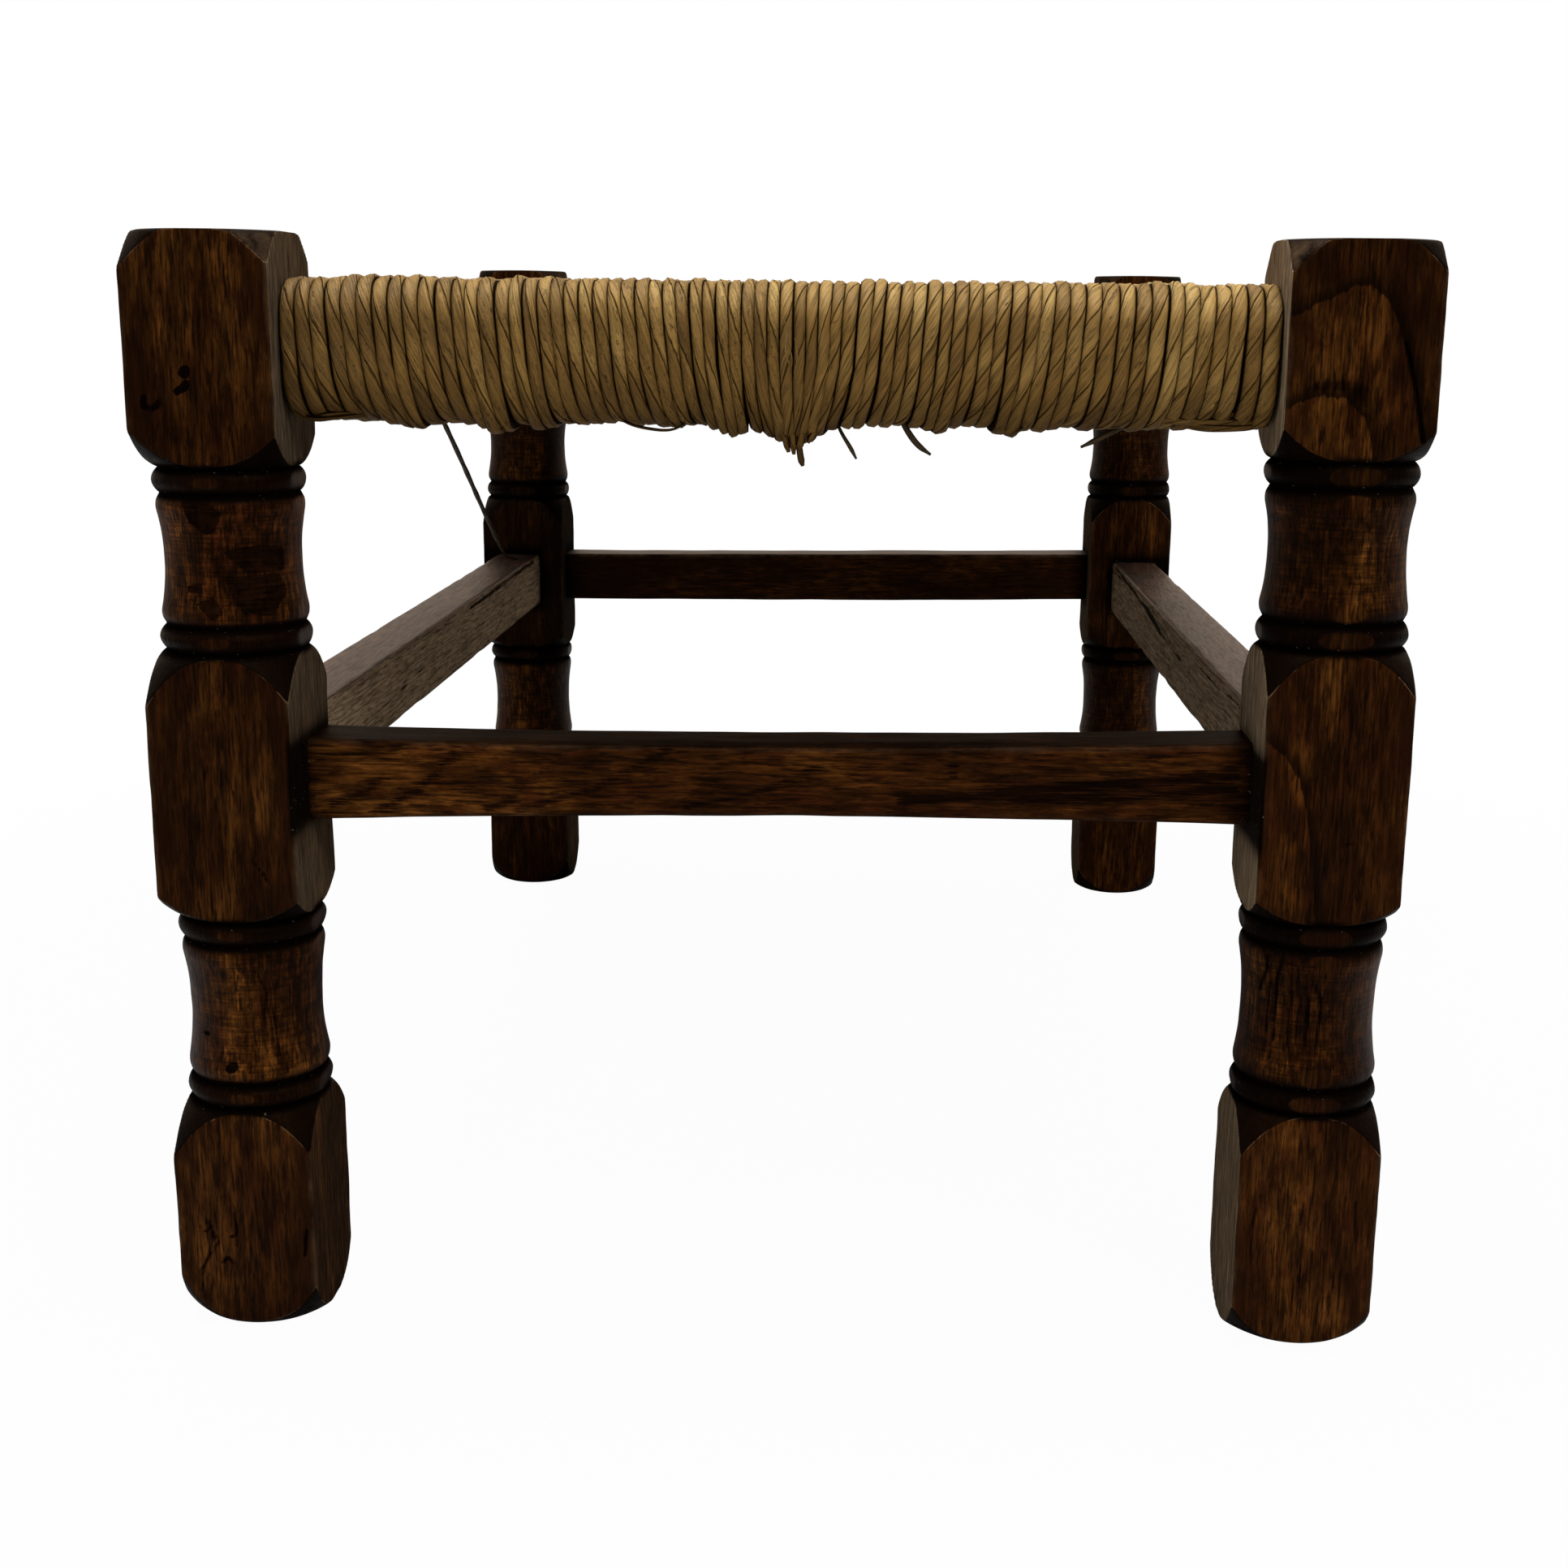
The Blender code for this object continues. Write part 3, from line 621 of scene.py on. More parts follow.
def legOutline(rise):
    reach = legs["side"] * 0.75
    groove, width, top = legs["grooveRadius"], legs["beadWidth"], legs["height"]
    turned = legs["lowerHollow"] + legs["middleBlock"] + legs["upperHollow"] + legs["topBlock"] + 4 * width
    foot = top - turned + rise
    middleLow = foot + legs["lowerHollow"] + 2 * width
    middleHigh = middleLow + legs["middleBlock"]
    topLow = middleHigh + legs["upperHollow"] + 2 * width
    points = [(0.0, 0.0), (legs["footFlat"] * 0.5, 0.0)]
    points += turnedEnd(0.0, legs["footRound"], legs["footFlat"], 22, False)
    points += turnedEnd(foot, foot - legs["footShoulder"], groove, 30)[::-1]
    points += turnedLength(foot, legs["lowerHollow"])[1:]
    points += turnedEnd(middleLow, middleLow + legs["middleBelow"], groove, 20)[1:]
    points += turnedEnd(middleHigh, middleHigh - legs["middleAbove"], groove, 30)[::-1]
    points += turnedLength(middleHigh, legs["upperHollow"])[1:]
    points += turnedEnd(topLow, topLow + legs["topShoulder"], groove, 24)[1:]
    points += [(reach, top - legs["topChamfer"])]
    flat, chamfer = legs["topFlat"], legs["topChamfer"]
    for step in range(1, 11):
        share = step / 10
        points.append((reach + (flat - reach) * share, top - chamfer * (1 - share) - 0.0014 * share))
    points += [(flat - 0.0008, top - 0.0007), (flat - 0.0022, top - 0.0003), (flat * 0.5, top), (0.0, top)]
    dense = [points[0]]
    for radius, height in points[1:]:
        lastRadius, lastHeight = dense[-1]
        cuts = max(1, math.ceil(abs(height - lastHeight) / legs["ringStep"]))
        for cut in range(1, cuts + 1):
            share = cut / cuts
            dense.append((lastRadius + (radius - lastRadius) * share,
                          lastHeight + (height - lastHeight) * share))
    grooves = (foot, foot + width, middleLow - width, middleLow,
               middleHigh, middleHigh + width, topLow - width, topLow)
    return dense, grooves


def squareReach(angle, arris):
    # distance from the middle of a rounded square to its edge
    half = legs["side"] / 2
    across, along = sorted((abs(math.cos(angle)), abs(math.sin(angle))))
    flat = half / along
    if flat * across <= half - arris:
        return flat
    centre = half - arris
    reach = centre * (across + along)
    return reach + math.sqrt(max(reach * reach - 2 * centre * centre + arris * arris, 0.0))


def heldReach(radius, square):
    # smooth lesser of the lathe's radius and the square's reach
    gap = (radius - square) / legs["softness"]
    if gap > 30:
        return square
    if gap < -30:
        return radius
    return radius - legs["softness"] * math.log1p(math.exp(gap))


def jointDirtAndShade(inX, inY, z, endInset):
    # soot and painted shade on the inner faces round each stretcher; inX and inY run towards the middle of
    # the stool
    dirt = 0.0
    joints = ((inX, inY, endInset, jointSootAndShade["endLow"]),
              (inY, inX, jointSootAndShade["otherInset"], jointSootAndShade["sideLow"]))
    for face, aside, middle, low in joints:
        if face > jointSootAndShade["face"]:
            reach = jointSootAndShade["outerReach"] if aside < middle else jointSootAndShade["innerReach"]
            beside = max(abs(aside - middle) - reach, 0.0)
            gap = math.hypot(beside, max(low - z, z - jointSootAndShade["high"], 0.0))
            dirt = max(dirt, jointSootAndShade["depth"] * math.exp(-(gap / jointSootAndShade["fade"]) ** 1.5))
    return dirt


def shapeLegPoint(vert, leg):
    # held inside the square, with chipped arrises, dents and a worn foot
    x, y, z = vert.co
    radius, angle = math.hypot(x, y), math.atan2(y, x)
    angle += legs["cornerPull"] * math.sin(4 * angle) / 4
    # the lathe ran a little off the middle of the square
    offX, offY = leg.make["offAxis"]
    off = offX * leg.inX * math.cos(angle) + offY * leg.inY * math.sin(angle)
    radius += off * ease(radius / legs["offAxisReach"])
    chipped = 0.5 + 0.5 * noise.noise(Vector((angle * 2.0, z * 55.0, 0.0)) + leg.seed)
    square = squareReach(angle, legs["arris"] * (0.6 + 1.4 * chipped * chipped))
    held = heldReach(radius, square)
    spot = Vector((math.cos(angle) * held, math.sin(angle) * held, z))
    dents = noise.noise(spot * 60.0 + leg.seed) + 0.4 * noise.noise(spot * 190.0 + leg.seed)
    held += legs["dent"] * dents
    x, y = math.cos(angle) * held, math.sin(angle) * held
    wearAcross, wearUp = legs["footWearReach"]
    worn = leg.make["footWear"] * ease((0.004 - y) / wearAcross) * ease(1.0 - z / wearUp)
    vert.co = (x, y, z + worn)
    return SimpleNamespace(x=x, y=y, z=z, angle=angle, held=held, cut=radius - square)


def stainLegPoint(vert, point, leg):
    # dirt and painted shade in the grooves and at the joints, stain on the beads and shoulders
    make, grooves, layers, z = leg.make, leg.grooves, leg.layers, point.z
    near = min(abs(z - groove) for groove in grooves)
    inGroove = math.exp(-(near / legs["grooveDirtAndShade"]) ** 4)
    inGroove *= ease((legs["grooveReach"] - point.held) / 0.0014)
    atJoint = jointDirtAndShade(point.x * leg.inX, point.y * leg.inY, z, leg.endInset)
    vert[layers["grime"]] = min(1.0, max(inGroove, 0.5 * math.exp(-z / legs["floorDirt"]), atJoint))
    fade, beadFade = make["collar"], legs["beadFade"]
    hollow = max(ease((z - low) / fade) * ease((high - z) / fade) for low, high in leg.hollows)
    onBead = max(ease((z - low + beadFade) / beadFade) * ease((high + beadFade - z) / beadFade)
                 for low, high in zip(grooves[::2], grooves[1::2]))
    vert[layers["stain"]] = (1.0 - hollow) * (1.0 + (make["beadStain"] - 1.0) * onBead)
    vert[layers["tone"]] *= 1.0 - 0.45 * onBead
    vert[layers["cut"]] = bounded(point.cut * 1000.0, 3.0)
    aside = min(abs(point.x), abs(point.y)) / (legs["side"] / 2)
    vert[layers["rim"]] = max(0.85 * ease((aside - 0.40) / 0.55) * (1.0 - hollow), 0.55 * onBead)


def wearLegPoint(vert, point, leg):
    # dry inner faces on the blocks, also painted paler as a painted sheen, worn arrises painted pale as wear
    # and as a painted highlight, and inner top corners that hands rub pale
    make, grooves, layers, z = leg.make, leg.grooves, leg.layers, point.z
    block = 0 if z < grooves[0] else 1 if grooves[3] < z < grooves[4] else 2 if z > grooves[7] else None
    if block is not None:
        vert[layers["lip"]] = 1.0
        vert[layers["inner"]] = bounded((point.x * leg.inX - abs(point.y)) * 1000.0, 3.0)
        vert[layers["dry"]] = min(make["dry"][block], 1.0)
        vert[layers["bleachAndSheen"]] = max(make["dry"][block] - 1.0, 0.0)
    rubbed = 0.0
    if point.cut > 0.0:
        rubbed = legs["arrisWearAndHighlight"] * math.exp(-abs(abs(math.sin(2 * point.angle)) - 1.0) / 0.0010)
    elif point.cut < 0.0:
        below = legs["height"] - z
        rubbed = make["rubbed"] * ease((legs["topChamfer"] - below) / 0.001) * ease((below - 0.0008) / 0.001)
        rubbed *= ease(point.x * leg.inX / 0.006)
    vert[layers["wearAndHighlight"]] = rubbed


def figureLegPoint(vert, point, leg):
    # marks, blots and figure on the outer face, as distances in millimetres
    grooves, layers, z = leg.grooves, leg.layers, point.z
    face, faceX, faceZ = -point.y * leg.inY, point.x * 1000.0, z * 1000.0
    if face > 0.009:
        marks = [-3.0]
        for width, line in legMarks[leg.corner]:
            sharpness = 2.2 if width > 1.0 else 1.0
            marks.append((width + 0.2 + outlineGap(faceX, faceZ, line, False)) * sharpness)
        for line in legFringes.get(leg.corner, ()):
            marks.append(min(outlineGap(faceX, faceZ, line, True) * 0.35 - 0.5, 0.3))
        blots = [outlineGap(faceX, faceZ, line, True) for line in legBlots.get(leg.corner, ())]
        vert[layers["mark"]] = max(marks)
        vert[layers["blot"]] = max(blots + [-3.0])
    onBlock = z > grooves[7] - 0.0005 or grooves[3] < z < grooves[4]
    if leg.corner == "front_right" and face > 0.018 and onBlock:
        for arch, line in archOutlines.items():
            vert[layers[arch]] = bounded(outlineGap(faceX, faceZ, line, True), 8.0)
        blaze = outlineGap(faceX, faceZ, paleBlaze, True)
        if z > grooves[7] and vert[layers["archOne"]] < -1.0 and blaze < 0.0:
            vert[layers["rim"]] = max(vert[layers["rim"]], 0.62 * ease(-blaze / 2.5))


def turnLeg(outline):
    bm = bmesh.new()
    verts = [bm.verts.new((radius, 0.0, height)) for radius, height in outline]
    edges = [bm.edges.new(pair) for pair in zip(verts, verts[1:])]
    bmesh.ops.spin(bm, geom=verts + edges, cent=(0, 0, 0), axis=(0, 0, 1), dvec=(0, 0, 0),
                   angle=math.tau, steps=legs["around"], use_merge=True)
    bmesh.ops.remove_doubles(bm, verts=bm.verts, dist=0.000001)
    return bm


def makeLeg(corner):
    make = legMakes[corner]
    end, side = corner.split("_")
    leg = SimpleNamespace(corner=corner, make=make)
    leg.inX, leg.inY = 1.0 if side == "left" else -1.0, 1.0 if end == "front" else -1.0
    leg.endInset = jointSootAndShade["frontInset" if end == "front" else "otherInset"]
    leg.seed = Vector((make["seed"], make["seed"] * 2.3, 0.0))
    outline, leg.grooves = legOutline(make["rise"])
    margin = legs["hollowMargin"]
    leg.hollows = [(leg.grooves[low] + margin, leg.grooves[low + 1] - margin) for low in (1, 5)]
    tones = np.repeat(make["tones"], 2)[1:-1]
    bm = turnLeg(outline)
    leg.layers = {name: bm.verts.layers.float.new(name) for name in (*legLayers, *archOutlines)}
    for vert in bm.verts:
        for name in ("mark", "blot", "inner"):
            vert[leg.layers[name]] = -3.0
        for arch in archOutlines:
            vert[leg.layers[arch]] = -8.0
        vert[leg.layers["tone"]] = float(np.interp(vert.co.z, leg.grooves, tones))
        if math.hypot(vert.co.x, vert.co.y) < 0.002:  # the middle of the top and of the foot
            continue
        point = shapeLegPoint(vert, leg)
        stainLegPoint(vert, point, leg)
        wearLegPoint(vert, point, leg)
        figureLegPoint(vert, point, leg)
    centreX, centreY = legs["centre"]
    bmesh.ops.translate(bm, verts=bm.verts, vec=(-centreX * leg.inX, -centreY * leg.inY, 0.0))
    material = makeOak(corner + "LegOak", (0, 0, 0), make["shift"], make["pith"], make["tilt"], "leg")
    mesh = meshFrom(bm, corner + "LegTurned")
    mesh.set_sharp_from_angle(angle=math.radians(legs["sharpFrom"]))
    addPiece(corner + "_leg_turned", mesh, material, "leg_oak", corner + "_leg")


# stretchers: plain sawn bars, arrises worn, the long ones split along the upper inner edge

stretchers = {
    "top": 0.1949,
    "thickness": 0.024,
    "intoLeg": 0.0010,
    "arris": 0.0016,
    "planing": 0.00022,
    "chip": 0.0006,
    "jointFade": 0.0050,
    "splitDepth": 0.0034,
    "splitWander": 0.0018,
    "across": 16,
}

# dry and bare give each bar's inner face its unwaxed colour, paler where bare is above one, a painted sheen
# as well
stretcherMakes = {
    "front": {
        "turn": 0, "half": 0.1495, "outer": -0.276, "height": 0.024, "cuts": 150, "seed": 2.7,
        "worn": 0.0008, "rise": 0.0019, "raised": (0.0010, 0.0016), "slope": 0.0016, "split": 0.0,
        "polish": 0.0, "dry": 0.0, "bareAndSheen": 1.0, "tone": 1.84, "stained": 0.0, "edge": 0.25,
        "grain": (0, 90, 0), "pith": (0.16, 0.33), "tilt": (5.0, 2.0),
    },
    "right": {
        "turn": 90, "half": 0.249, "outer": -0.1865, "height": 0.028, "cuts": 200, "seed": 6.1,
        "worn": 0.0005, "rise": 0.0, "raised": (0.0, 0.0), "slope": 0.0, "split": 0.7,
        "polish": 1.3, "dry": 0.85, "bareAndSheen": 2.2, "tone": 1.0, "stained": 0.0, "edge": 1.0,
        "grain": (90, 0, 0), "pith": (-0.20, 0.24), "tilt": (1.5, -2.0),
    },
    "back": {
        "turn": 180, "half": 0.1495, "outer": -0.286, "height": 0.025, "cuts": 120, "seed": 11.4,
        "worn": 0.0005, "rise": -0.0006, "raised": (0.0009, 0.0), "slope": -0.0018, "split": 0.0,
        "polish": 0.7, "dry": 0.0, "bareAndSheen": 1.0, "tone": 1.05, "stained": 0.5, "edge": 1.0,
        "grain": (0, 90, 0), "pith": (0.22, -0.24), "tilt": (2.0, 1.0),
    },
    "left": {
        "turn": -90, "half": 0.249, "outer": -0.1865, "height": 0.028, "cuts": 200, "seed": 17.8,
        "worn": 0.0005, "rise": 0.0, "raised": (0.0, 0.0), "slope": 0.0, "split": 0.4,
        "polish": 0.80, "dry": 0.88, "bareAndSheen": 3.1, "tone": 1.0, "stained": 0.0, "edge": 1.0,
        "grain": (90, 0, 0), "pith": (0.20, 0.24), "tilt": (-2.0, 1.5),
    },
}

# pore lines and cracks, in millimetres along the bar and above the floor, with the face that they are on
barMarks = {
    "front": {"face": -1.0, "lines": (
        (1.3, [(-129, 173), (-116, 180), (-102, 192)]),
        (1.3, [(-82, 174), (-58, 182), (-35, 193)]),
        (1.1, [(-29, 175), (-8, 180), (14, 189)]),
        (0.4, [(-104, 174), (-84, 182), (-66, 192)]),
        (1.9, [(40, 178), (84, 182.5), (144, 187)]),
        (1.6, [(74, 178.6), (110, 180), (144, 183)]),
        (0.9, [(55.9, 192.0), (56.0, 187.0)]),
        (1.0, [(-146, 190), (-120, 193)]),
        (1.6, [(-142, 176), (-128, 182)]),
        (1.8, [(-92, 174), (-84, 177)]),
    )},
    "right": {"face": 1.0, "lines": (
        (0.4, [(-40, 180), (60, 178)]),
        (0.4, [(-180, 186), (-110, 183)]),
        (1.1, [(232, 193.4), (150, 191.6), (96, 189.8)]),
        (1.7, [(96, 189.8), (64, 188.2), (40, 186.0)]),
        (0.7, [(40, 186.0), (-30, 184.4)]),
    )},
    "back": {"face": -1.0, "lines": ((0.3, [(-60, 180), (20, 184)]),)},
    "left": {"face": 1.0, "lines": (
        (0.6, [(51, 180.6), (100, 178), (151, 176)]),
        (0.4, [(-150, 182), (-60, 180)]),
        (1.0, [(-228, 193.4), (-140, 192.8), (-50, 191.8)]),
    )},
}

# what the bars' vertices carry for the finish
barLayers = ("grime", "wearAndHighlight", "rim", "mark", "crack", "polish", "dry", "inner", "bleachAndSheen", "tone")


def sawBar(make, reach):
    bm = bmesh.new()
    bmesh.ops.create_cube(bm, size=1.0)
    bmesh.ops.scale(bm, verts=bm.verts, vec=(2 * reach, stretchers["thickness"], make["height"]))
    along = [edge for edge in bm.edges if abs(edge.verts[0].co.x - edge.verts[1].co.x) > reach]
    bmesh.ops.bevel(bm, geom=along, offset=stretchers["arris"], segments=3, profile=0.5,
                    affect="EDGES", material=-1)
    across = [edge for edge in bm.edges if 0.01 < edge.calc_length() < reach]
    bmesh.ops.subdivide_edges(bm, edges=across, cuts=stretchers["across"], use_grid_fill=True)
    along = [edge for edge in bm.edges if edge.calc_length() > reach]
    bmesh.ops.subdivide_edges(bm, edges=along, cuts=make["cuts"], use_grid_fill=True)
    return bm


def barCrack(side, point, middleZ):
    # distance inside a crack or a split, in millimetres
    make, marks, crack = stretcherMakes[side], barMarks[side], -3.0
    if point.sideways * marks["face"] > 0.7:
        height = (point.z + middleZ) * 1000.0
        for width, line in marks["lines"]:
            crack = max(crack, width + outlineGap(point.x * 1000.0, height, line, False))
    if make["split"] and point.sideways > 0.75:
        wander = noise.noise(Vector((point.x * 14.0, 3.0, 0.0)) + point.seed)
        line = make["height"] / 2 - stretchers["splitDepth"] - stretchers["splitWander"] * wander
        parted = ease((noise.noise(Vector((point.x * 7.0, 9.0, 0.0)) + point.seed) + 0.55) / 0.5)
        crack = max(crack, make["split"] * parted - abs(point.z - line) * 1000.0)
    return crack


def wearBarPoint(vert, point, make, reach):
    # planed by hand, chipped on the arrises, worn hollow on top
    x, y, z, sideways, upright = point.x, point.y, point.z, point.sideways, point.upright
    spot = Vector((x * 22.0, y * 70.0, z * 70.0)) + point.seed
    rough = stretchers["planing"] * (noise.noise(spot) + 0.5 * noise.noise(spot * 2.7))
    chip = max(0.0, noise.noise(Vector((x * 45.0, sideways, upright * 3.0)) + point.seed))
    chip *= point.edge * stretchers["chip"]
    upper, bow = ease((upright - 0.2) / 0.8), 1.0 - (x / reach) ** 2
    ripple = 0.75 + 0.5 * noise.noise(Vector((x * 9.0, 0, 0)) + point.seed)
    y -= sideways * (rough * 0.7 + chip)
    z += upright * (rough - chip)
    z -= upper * ease((-sideways - 0.3) / 0.7) * make["worn"] * bow * ripple
    z += ease((-upright - 0.2) / 0.8) * make["rise"] * bow
    z += upper * (make["raised"][0] + make["raised"][1] * (1.0 - bow)) + make["slope"] * x / reach
    vert.co = (x, y, z)


def finishBarPoint(vert, point, side, crack, layers):
    make, edge, upright = stretcherMakes[side], point.edge, point.upright
    thick, high = stretchers["thickness"], make["height"]
    inLeg = make["half"] - abs(point.x)
    # darker towards the legs, soot and painted shade where the bar goes in, and darker on the lower arrises
    dark = 0.85 * math.exp(-inLeg / stretchers["jointFade"]) if inLeg > 0.0 else 0.9
    dark = max(dark, 0.45 * edge if upright < 0 else 0.0)
    onTop = ease((upright - 0.85) / 0.15)
    inner = bounded((point.y - thick / 2 + high / 2 - abs(point.z)) * 1000.0, 3.0)
    sooty = onTop if side == "front" else 0.0
    values = {
        "grime": max(dark, 0.5 * sooty * (1.0 - edge)),
        # pale arrises, wear and a painted highlight
        "wearAndHighlight": edge * (make["edge"] if upright > 0 else 0.3),
        "rim": make["stained"],
        "mark": crack if side == "front" else -30.0,
        "crack": crack if side != "front" else -3.0,
        "polish": make["polish"] * onTop,
        "dry": make["dry"],
        "inner": inner if make["dry"] else -3.0,
        "bleachAndSheen": make["bareAndSheen"] - 1.0,
        "tone": make["tone"] * (1.0 - 0.65 * sooty),
    }
    for name, value in values.items():
        vert[layers[name]] = value


def makeStretcher(side):
    make = stretcherMakes[side]
    thick, high, reach = stretchers["thickness"], make["height"], make["half"] + stretchers["intoLeg"]
    middleY, middleZ = make["outer"] + thick / 2, stretchers["top"] - high / 2
    seed = Vector((make["seed"], 0.0, make["seed"] * 1.7))
    bm = sawBar(make, reach)
    layers = {name: bm.verts.layers.float.new(name) for name in barLayers}
    for vert in bm.verts:
        x, y, z = vert.co
        sideways, upright = y / (thick / 2), z / (high / 2)
        edge = ease((abs(sideways) - 0.80) / 0.2) * ease((abs(upright) - 0.80) / 0.2)
        point = SimpleNamespace(x=x, y=y, z=z, sideways=sideways, upright=upright, edge=edge, seed=seed)
        finishBarPoint(vert, point, side, barCrack(side, point, middleZ), layers)
        wearBarPoint(vert, point, make, reach)
    bmesh.ops.translate(bm, verts=bm.verts, vec=(0.0, middleY, middleZ))
    bmesh.ops.rotate(bm, verts=bm.verts, cent=(0, 0, 0), matrix=turnZ(make["turn"], 3))
    shift = (0, 0, make["seed"])
    material = makeOak(side + "StretcherOak", make["grain"], shift, make["pith"], make["tilt"], "bar")
    mesh = meshFrom(bm, side + "StretcherBar")
    addPiece(side + "_stretcher_bar", mesh, material, "stretcher_oak", side + "_stretcher")


# rush: twisted strands wound over the rails, square-shouldered tubes whose leaf seams turn with the twist

rush = {
    "rings": 104,
    "top": 0.339,
    "bottom": 0.2955,
    "rollCorner": 0.014,
    "sag": 0.004,
    "belly": 0.0015,
    "reach": 0.1885,
    "halfThick": 0.00215,
    "twistLeft": 0.046,
    "twistRight": 0.030,
    "lean": 0.0066,
    "gather": 0.035,
    "legClear": 0.015,
    "dip": 0.0066,
    "dipReach": 0.0056,
    "profile": ((0.95, 0.66), (0.42, 1.0)),
    "mitre": 0.039,
    "seamGap": 0.0008,
    "shine": 0.26,
}

# where the wraps are drawn down in lobes under the front edge: middle, reach, drop in millimetres, and pull
rushLobes = (
    (-109.8, 6.0, 4.0, 0.45), (-84.5, 7.0, 6.4, 0.55), (-70.6, 4.6, 3.6, 0.40),
    (-31.3, 6.0, 2.2, 0.35), (-14.6, 5.0, 5.0, 0.55), (5.0, 12.5, 9.8, 0.72),
    (47.2, 5.0, 3.2, 0.40), (69.2, 4.8, 4.4, 0.55), (79.0, 5.0, 1.8, 0.30),
)

rushMakes = {
    "front": {"turn": 0, "half": 0.1495, "roll": -0.288, "wraps": 69, "seed": 5},
    "right": {"turn": 90, "half": 0.249, "roll": -0.1885, "wraps": 115, "seed": 6},
    "back": {"turn": 180, "half": 0.1495, "roll": -0.288, "wraps": 69, "seed": 7},
    "left": {"turn": -90, "half": 0.249, "roll": -0.1885, "wraps": 115, "seed": 8},
}


def plainTubes(name, count, rings):
    # an eight-sided tube a unit long, repeated once for each strand
    bm = bmesh.new()
    start = bmesh.ops.create_circle(bm, cap_ends=False, segments=8, radius=1.0)["verts"]
    bmesh.ops.spin(bm, geom=start + bm.edges[:], cent=(0, 0, 0), axis=(0, 0, 1), angle=0.0,
                   dvec=(0, 0, 1.0 / (rings - 1)), steps=rings - 1)
    bmesh.ops.holes_fill(bm, edges=[edge for edge in bm.edges if edge.is_boundary], sides=8)
    holder = bpy.data.objects.new(name, meshFrom(bm, name))
    scene.collection.objects.link(holder)
    array = holder.modifiers.new("strands", "ARRAY")
    array.count = count
    array.use_relative_offset = False
    array.use_constant_offset = True
    array.constant_offset_displace = (4.0, 0.0, 0.0)
    mesh = bpy.data.meshes.new_from_object(holder.evaluated_get(bpy.context.evaluated_depsgraph_get()))
    plain = holder.data
    bpy.data.objects.remove(holder)
    bpy.data.meshes.remove(plain)
    spots = np.empty(len(mesh.vertices) * 3)
    mesh.vertices.foreach_get("co", spots)
    spots = spots.reshape(-1, 3)
    strand = np.rint(spots[:, 0] / 4.0).astype(int)
    ring = np.rint(spots[:, 2] * (rings - 1)).astype(int)
    corner = np.rint(np.arctan2(spots[:, 1], spots[:, 0] - 4.0 * strand) / (math.pi / 4)).astype(int) % 8
    return mesh, strand, ring, corner


def layStrands(name, paths, outward, half, thick, turns, tones):
    # bends the plain tubes to their courses: paths and outward are strand x ring x 3
    count, rings = paths.shape[:2]
    mesh, strand, ring, corner = plainTubes(name, count, rings)
    along = np.gradient(paths, axis=1)
    along /= np.linalg.norm(along, axis=2, keepdims=True)
    sideways = np.cross(along, outward)
    sideways /= np.linalg.norm(sideways, axis=2, keepdims=True)
    upright = np.cross(sideways, along)
    steps = np.linalg.norm(np.diff(paths, axis=1), axis=2)
    length = np.concatenate([np.zeros((count, 1)), np.cumsum(steps, axis=1)], axis=1)
    angle = (corner + 0.5) * (math.pi / 4)
    outer, inner = rush["profile"]
    steep = np.abs(np.cos(angle)) > 0.7
    across = np.sign(np.cos(angle)) * np.where(steep, outer[0], inner[0])
    above = np.sign(np.sin(angle)) * np.where(steep, outer[1], inner[1])
    phase = angle - turns[strand, ring]
    wide = half[strand, ring] * across
    high = thick[strand, ring] * above * (1.0 + 0.15 * np.cos(2 * phase))
    spots = paths[strand, ring] + sideways[strand, ring] * wide[:, None]
    spots = spots + upright[strand, ring] * high[:, None]
    mesh.vertices.foreach_set("co", spots.ravel())
    fibre = np.stack([np.cos(phase), np.sin(phase), length[strand, ring] / 0.0022 + strand * 331.7], axis=1)
    mesh.attributes.new("fibre", "FLOAT_VECTOR", "POINT").data.foreach_set("vector", fibre.ravel())
    mesh.attributes.new("tone", "FLOAT", "POINT").data.foreach_set("value", tones[strand, ring])
    # sunk paints shade between neighbouring strands and under each strand
    sunkShade = np.where(above < 0, 1.0, np.where(steep, 0.55, 0.0))
    mesh.attributes.new("sunkShade", "FLOAT", "POINT").data.foreach_set("value", sunkShade)
    bm = bmesh.new()
    bm.from_mesh(mesh)
    bmesh.ops.recalc_face_normals(bm, faces=bm.faces)
    bm.to_mesh(mesh)
    bm.free()
    mesh.shade_smooth()
    return mesh


def smoothShare(share):
    share = np.clip(share, 0.0, 1.0)
    return share * share * (3.0 - 2.0 * share)


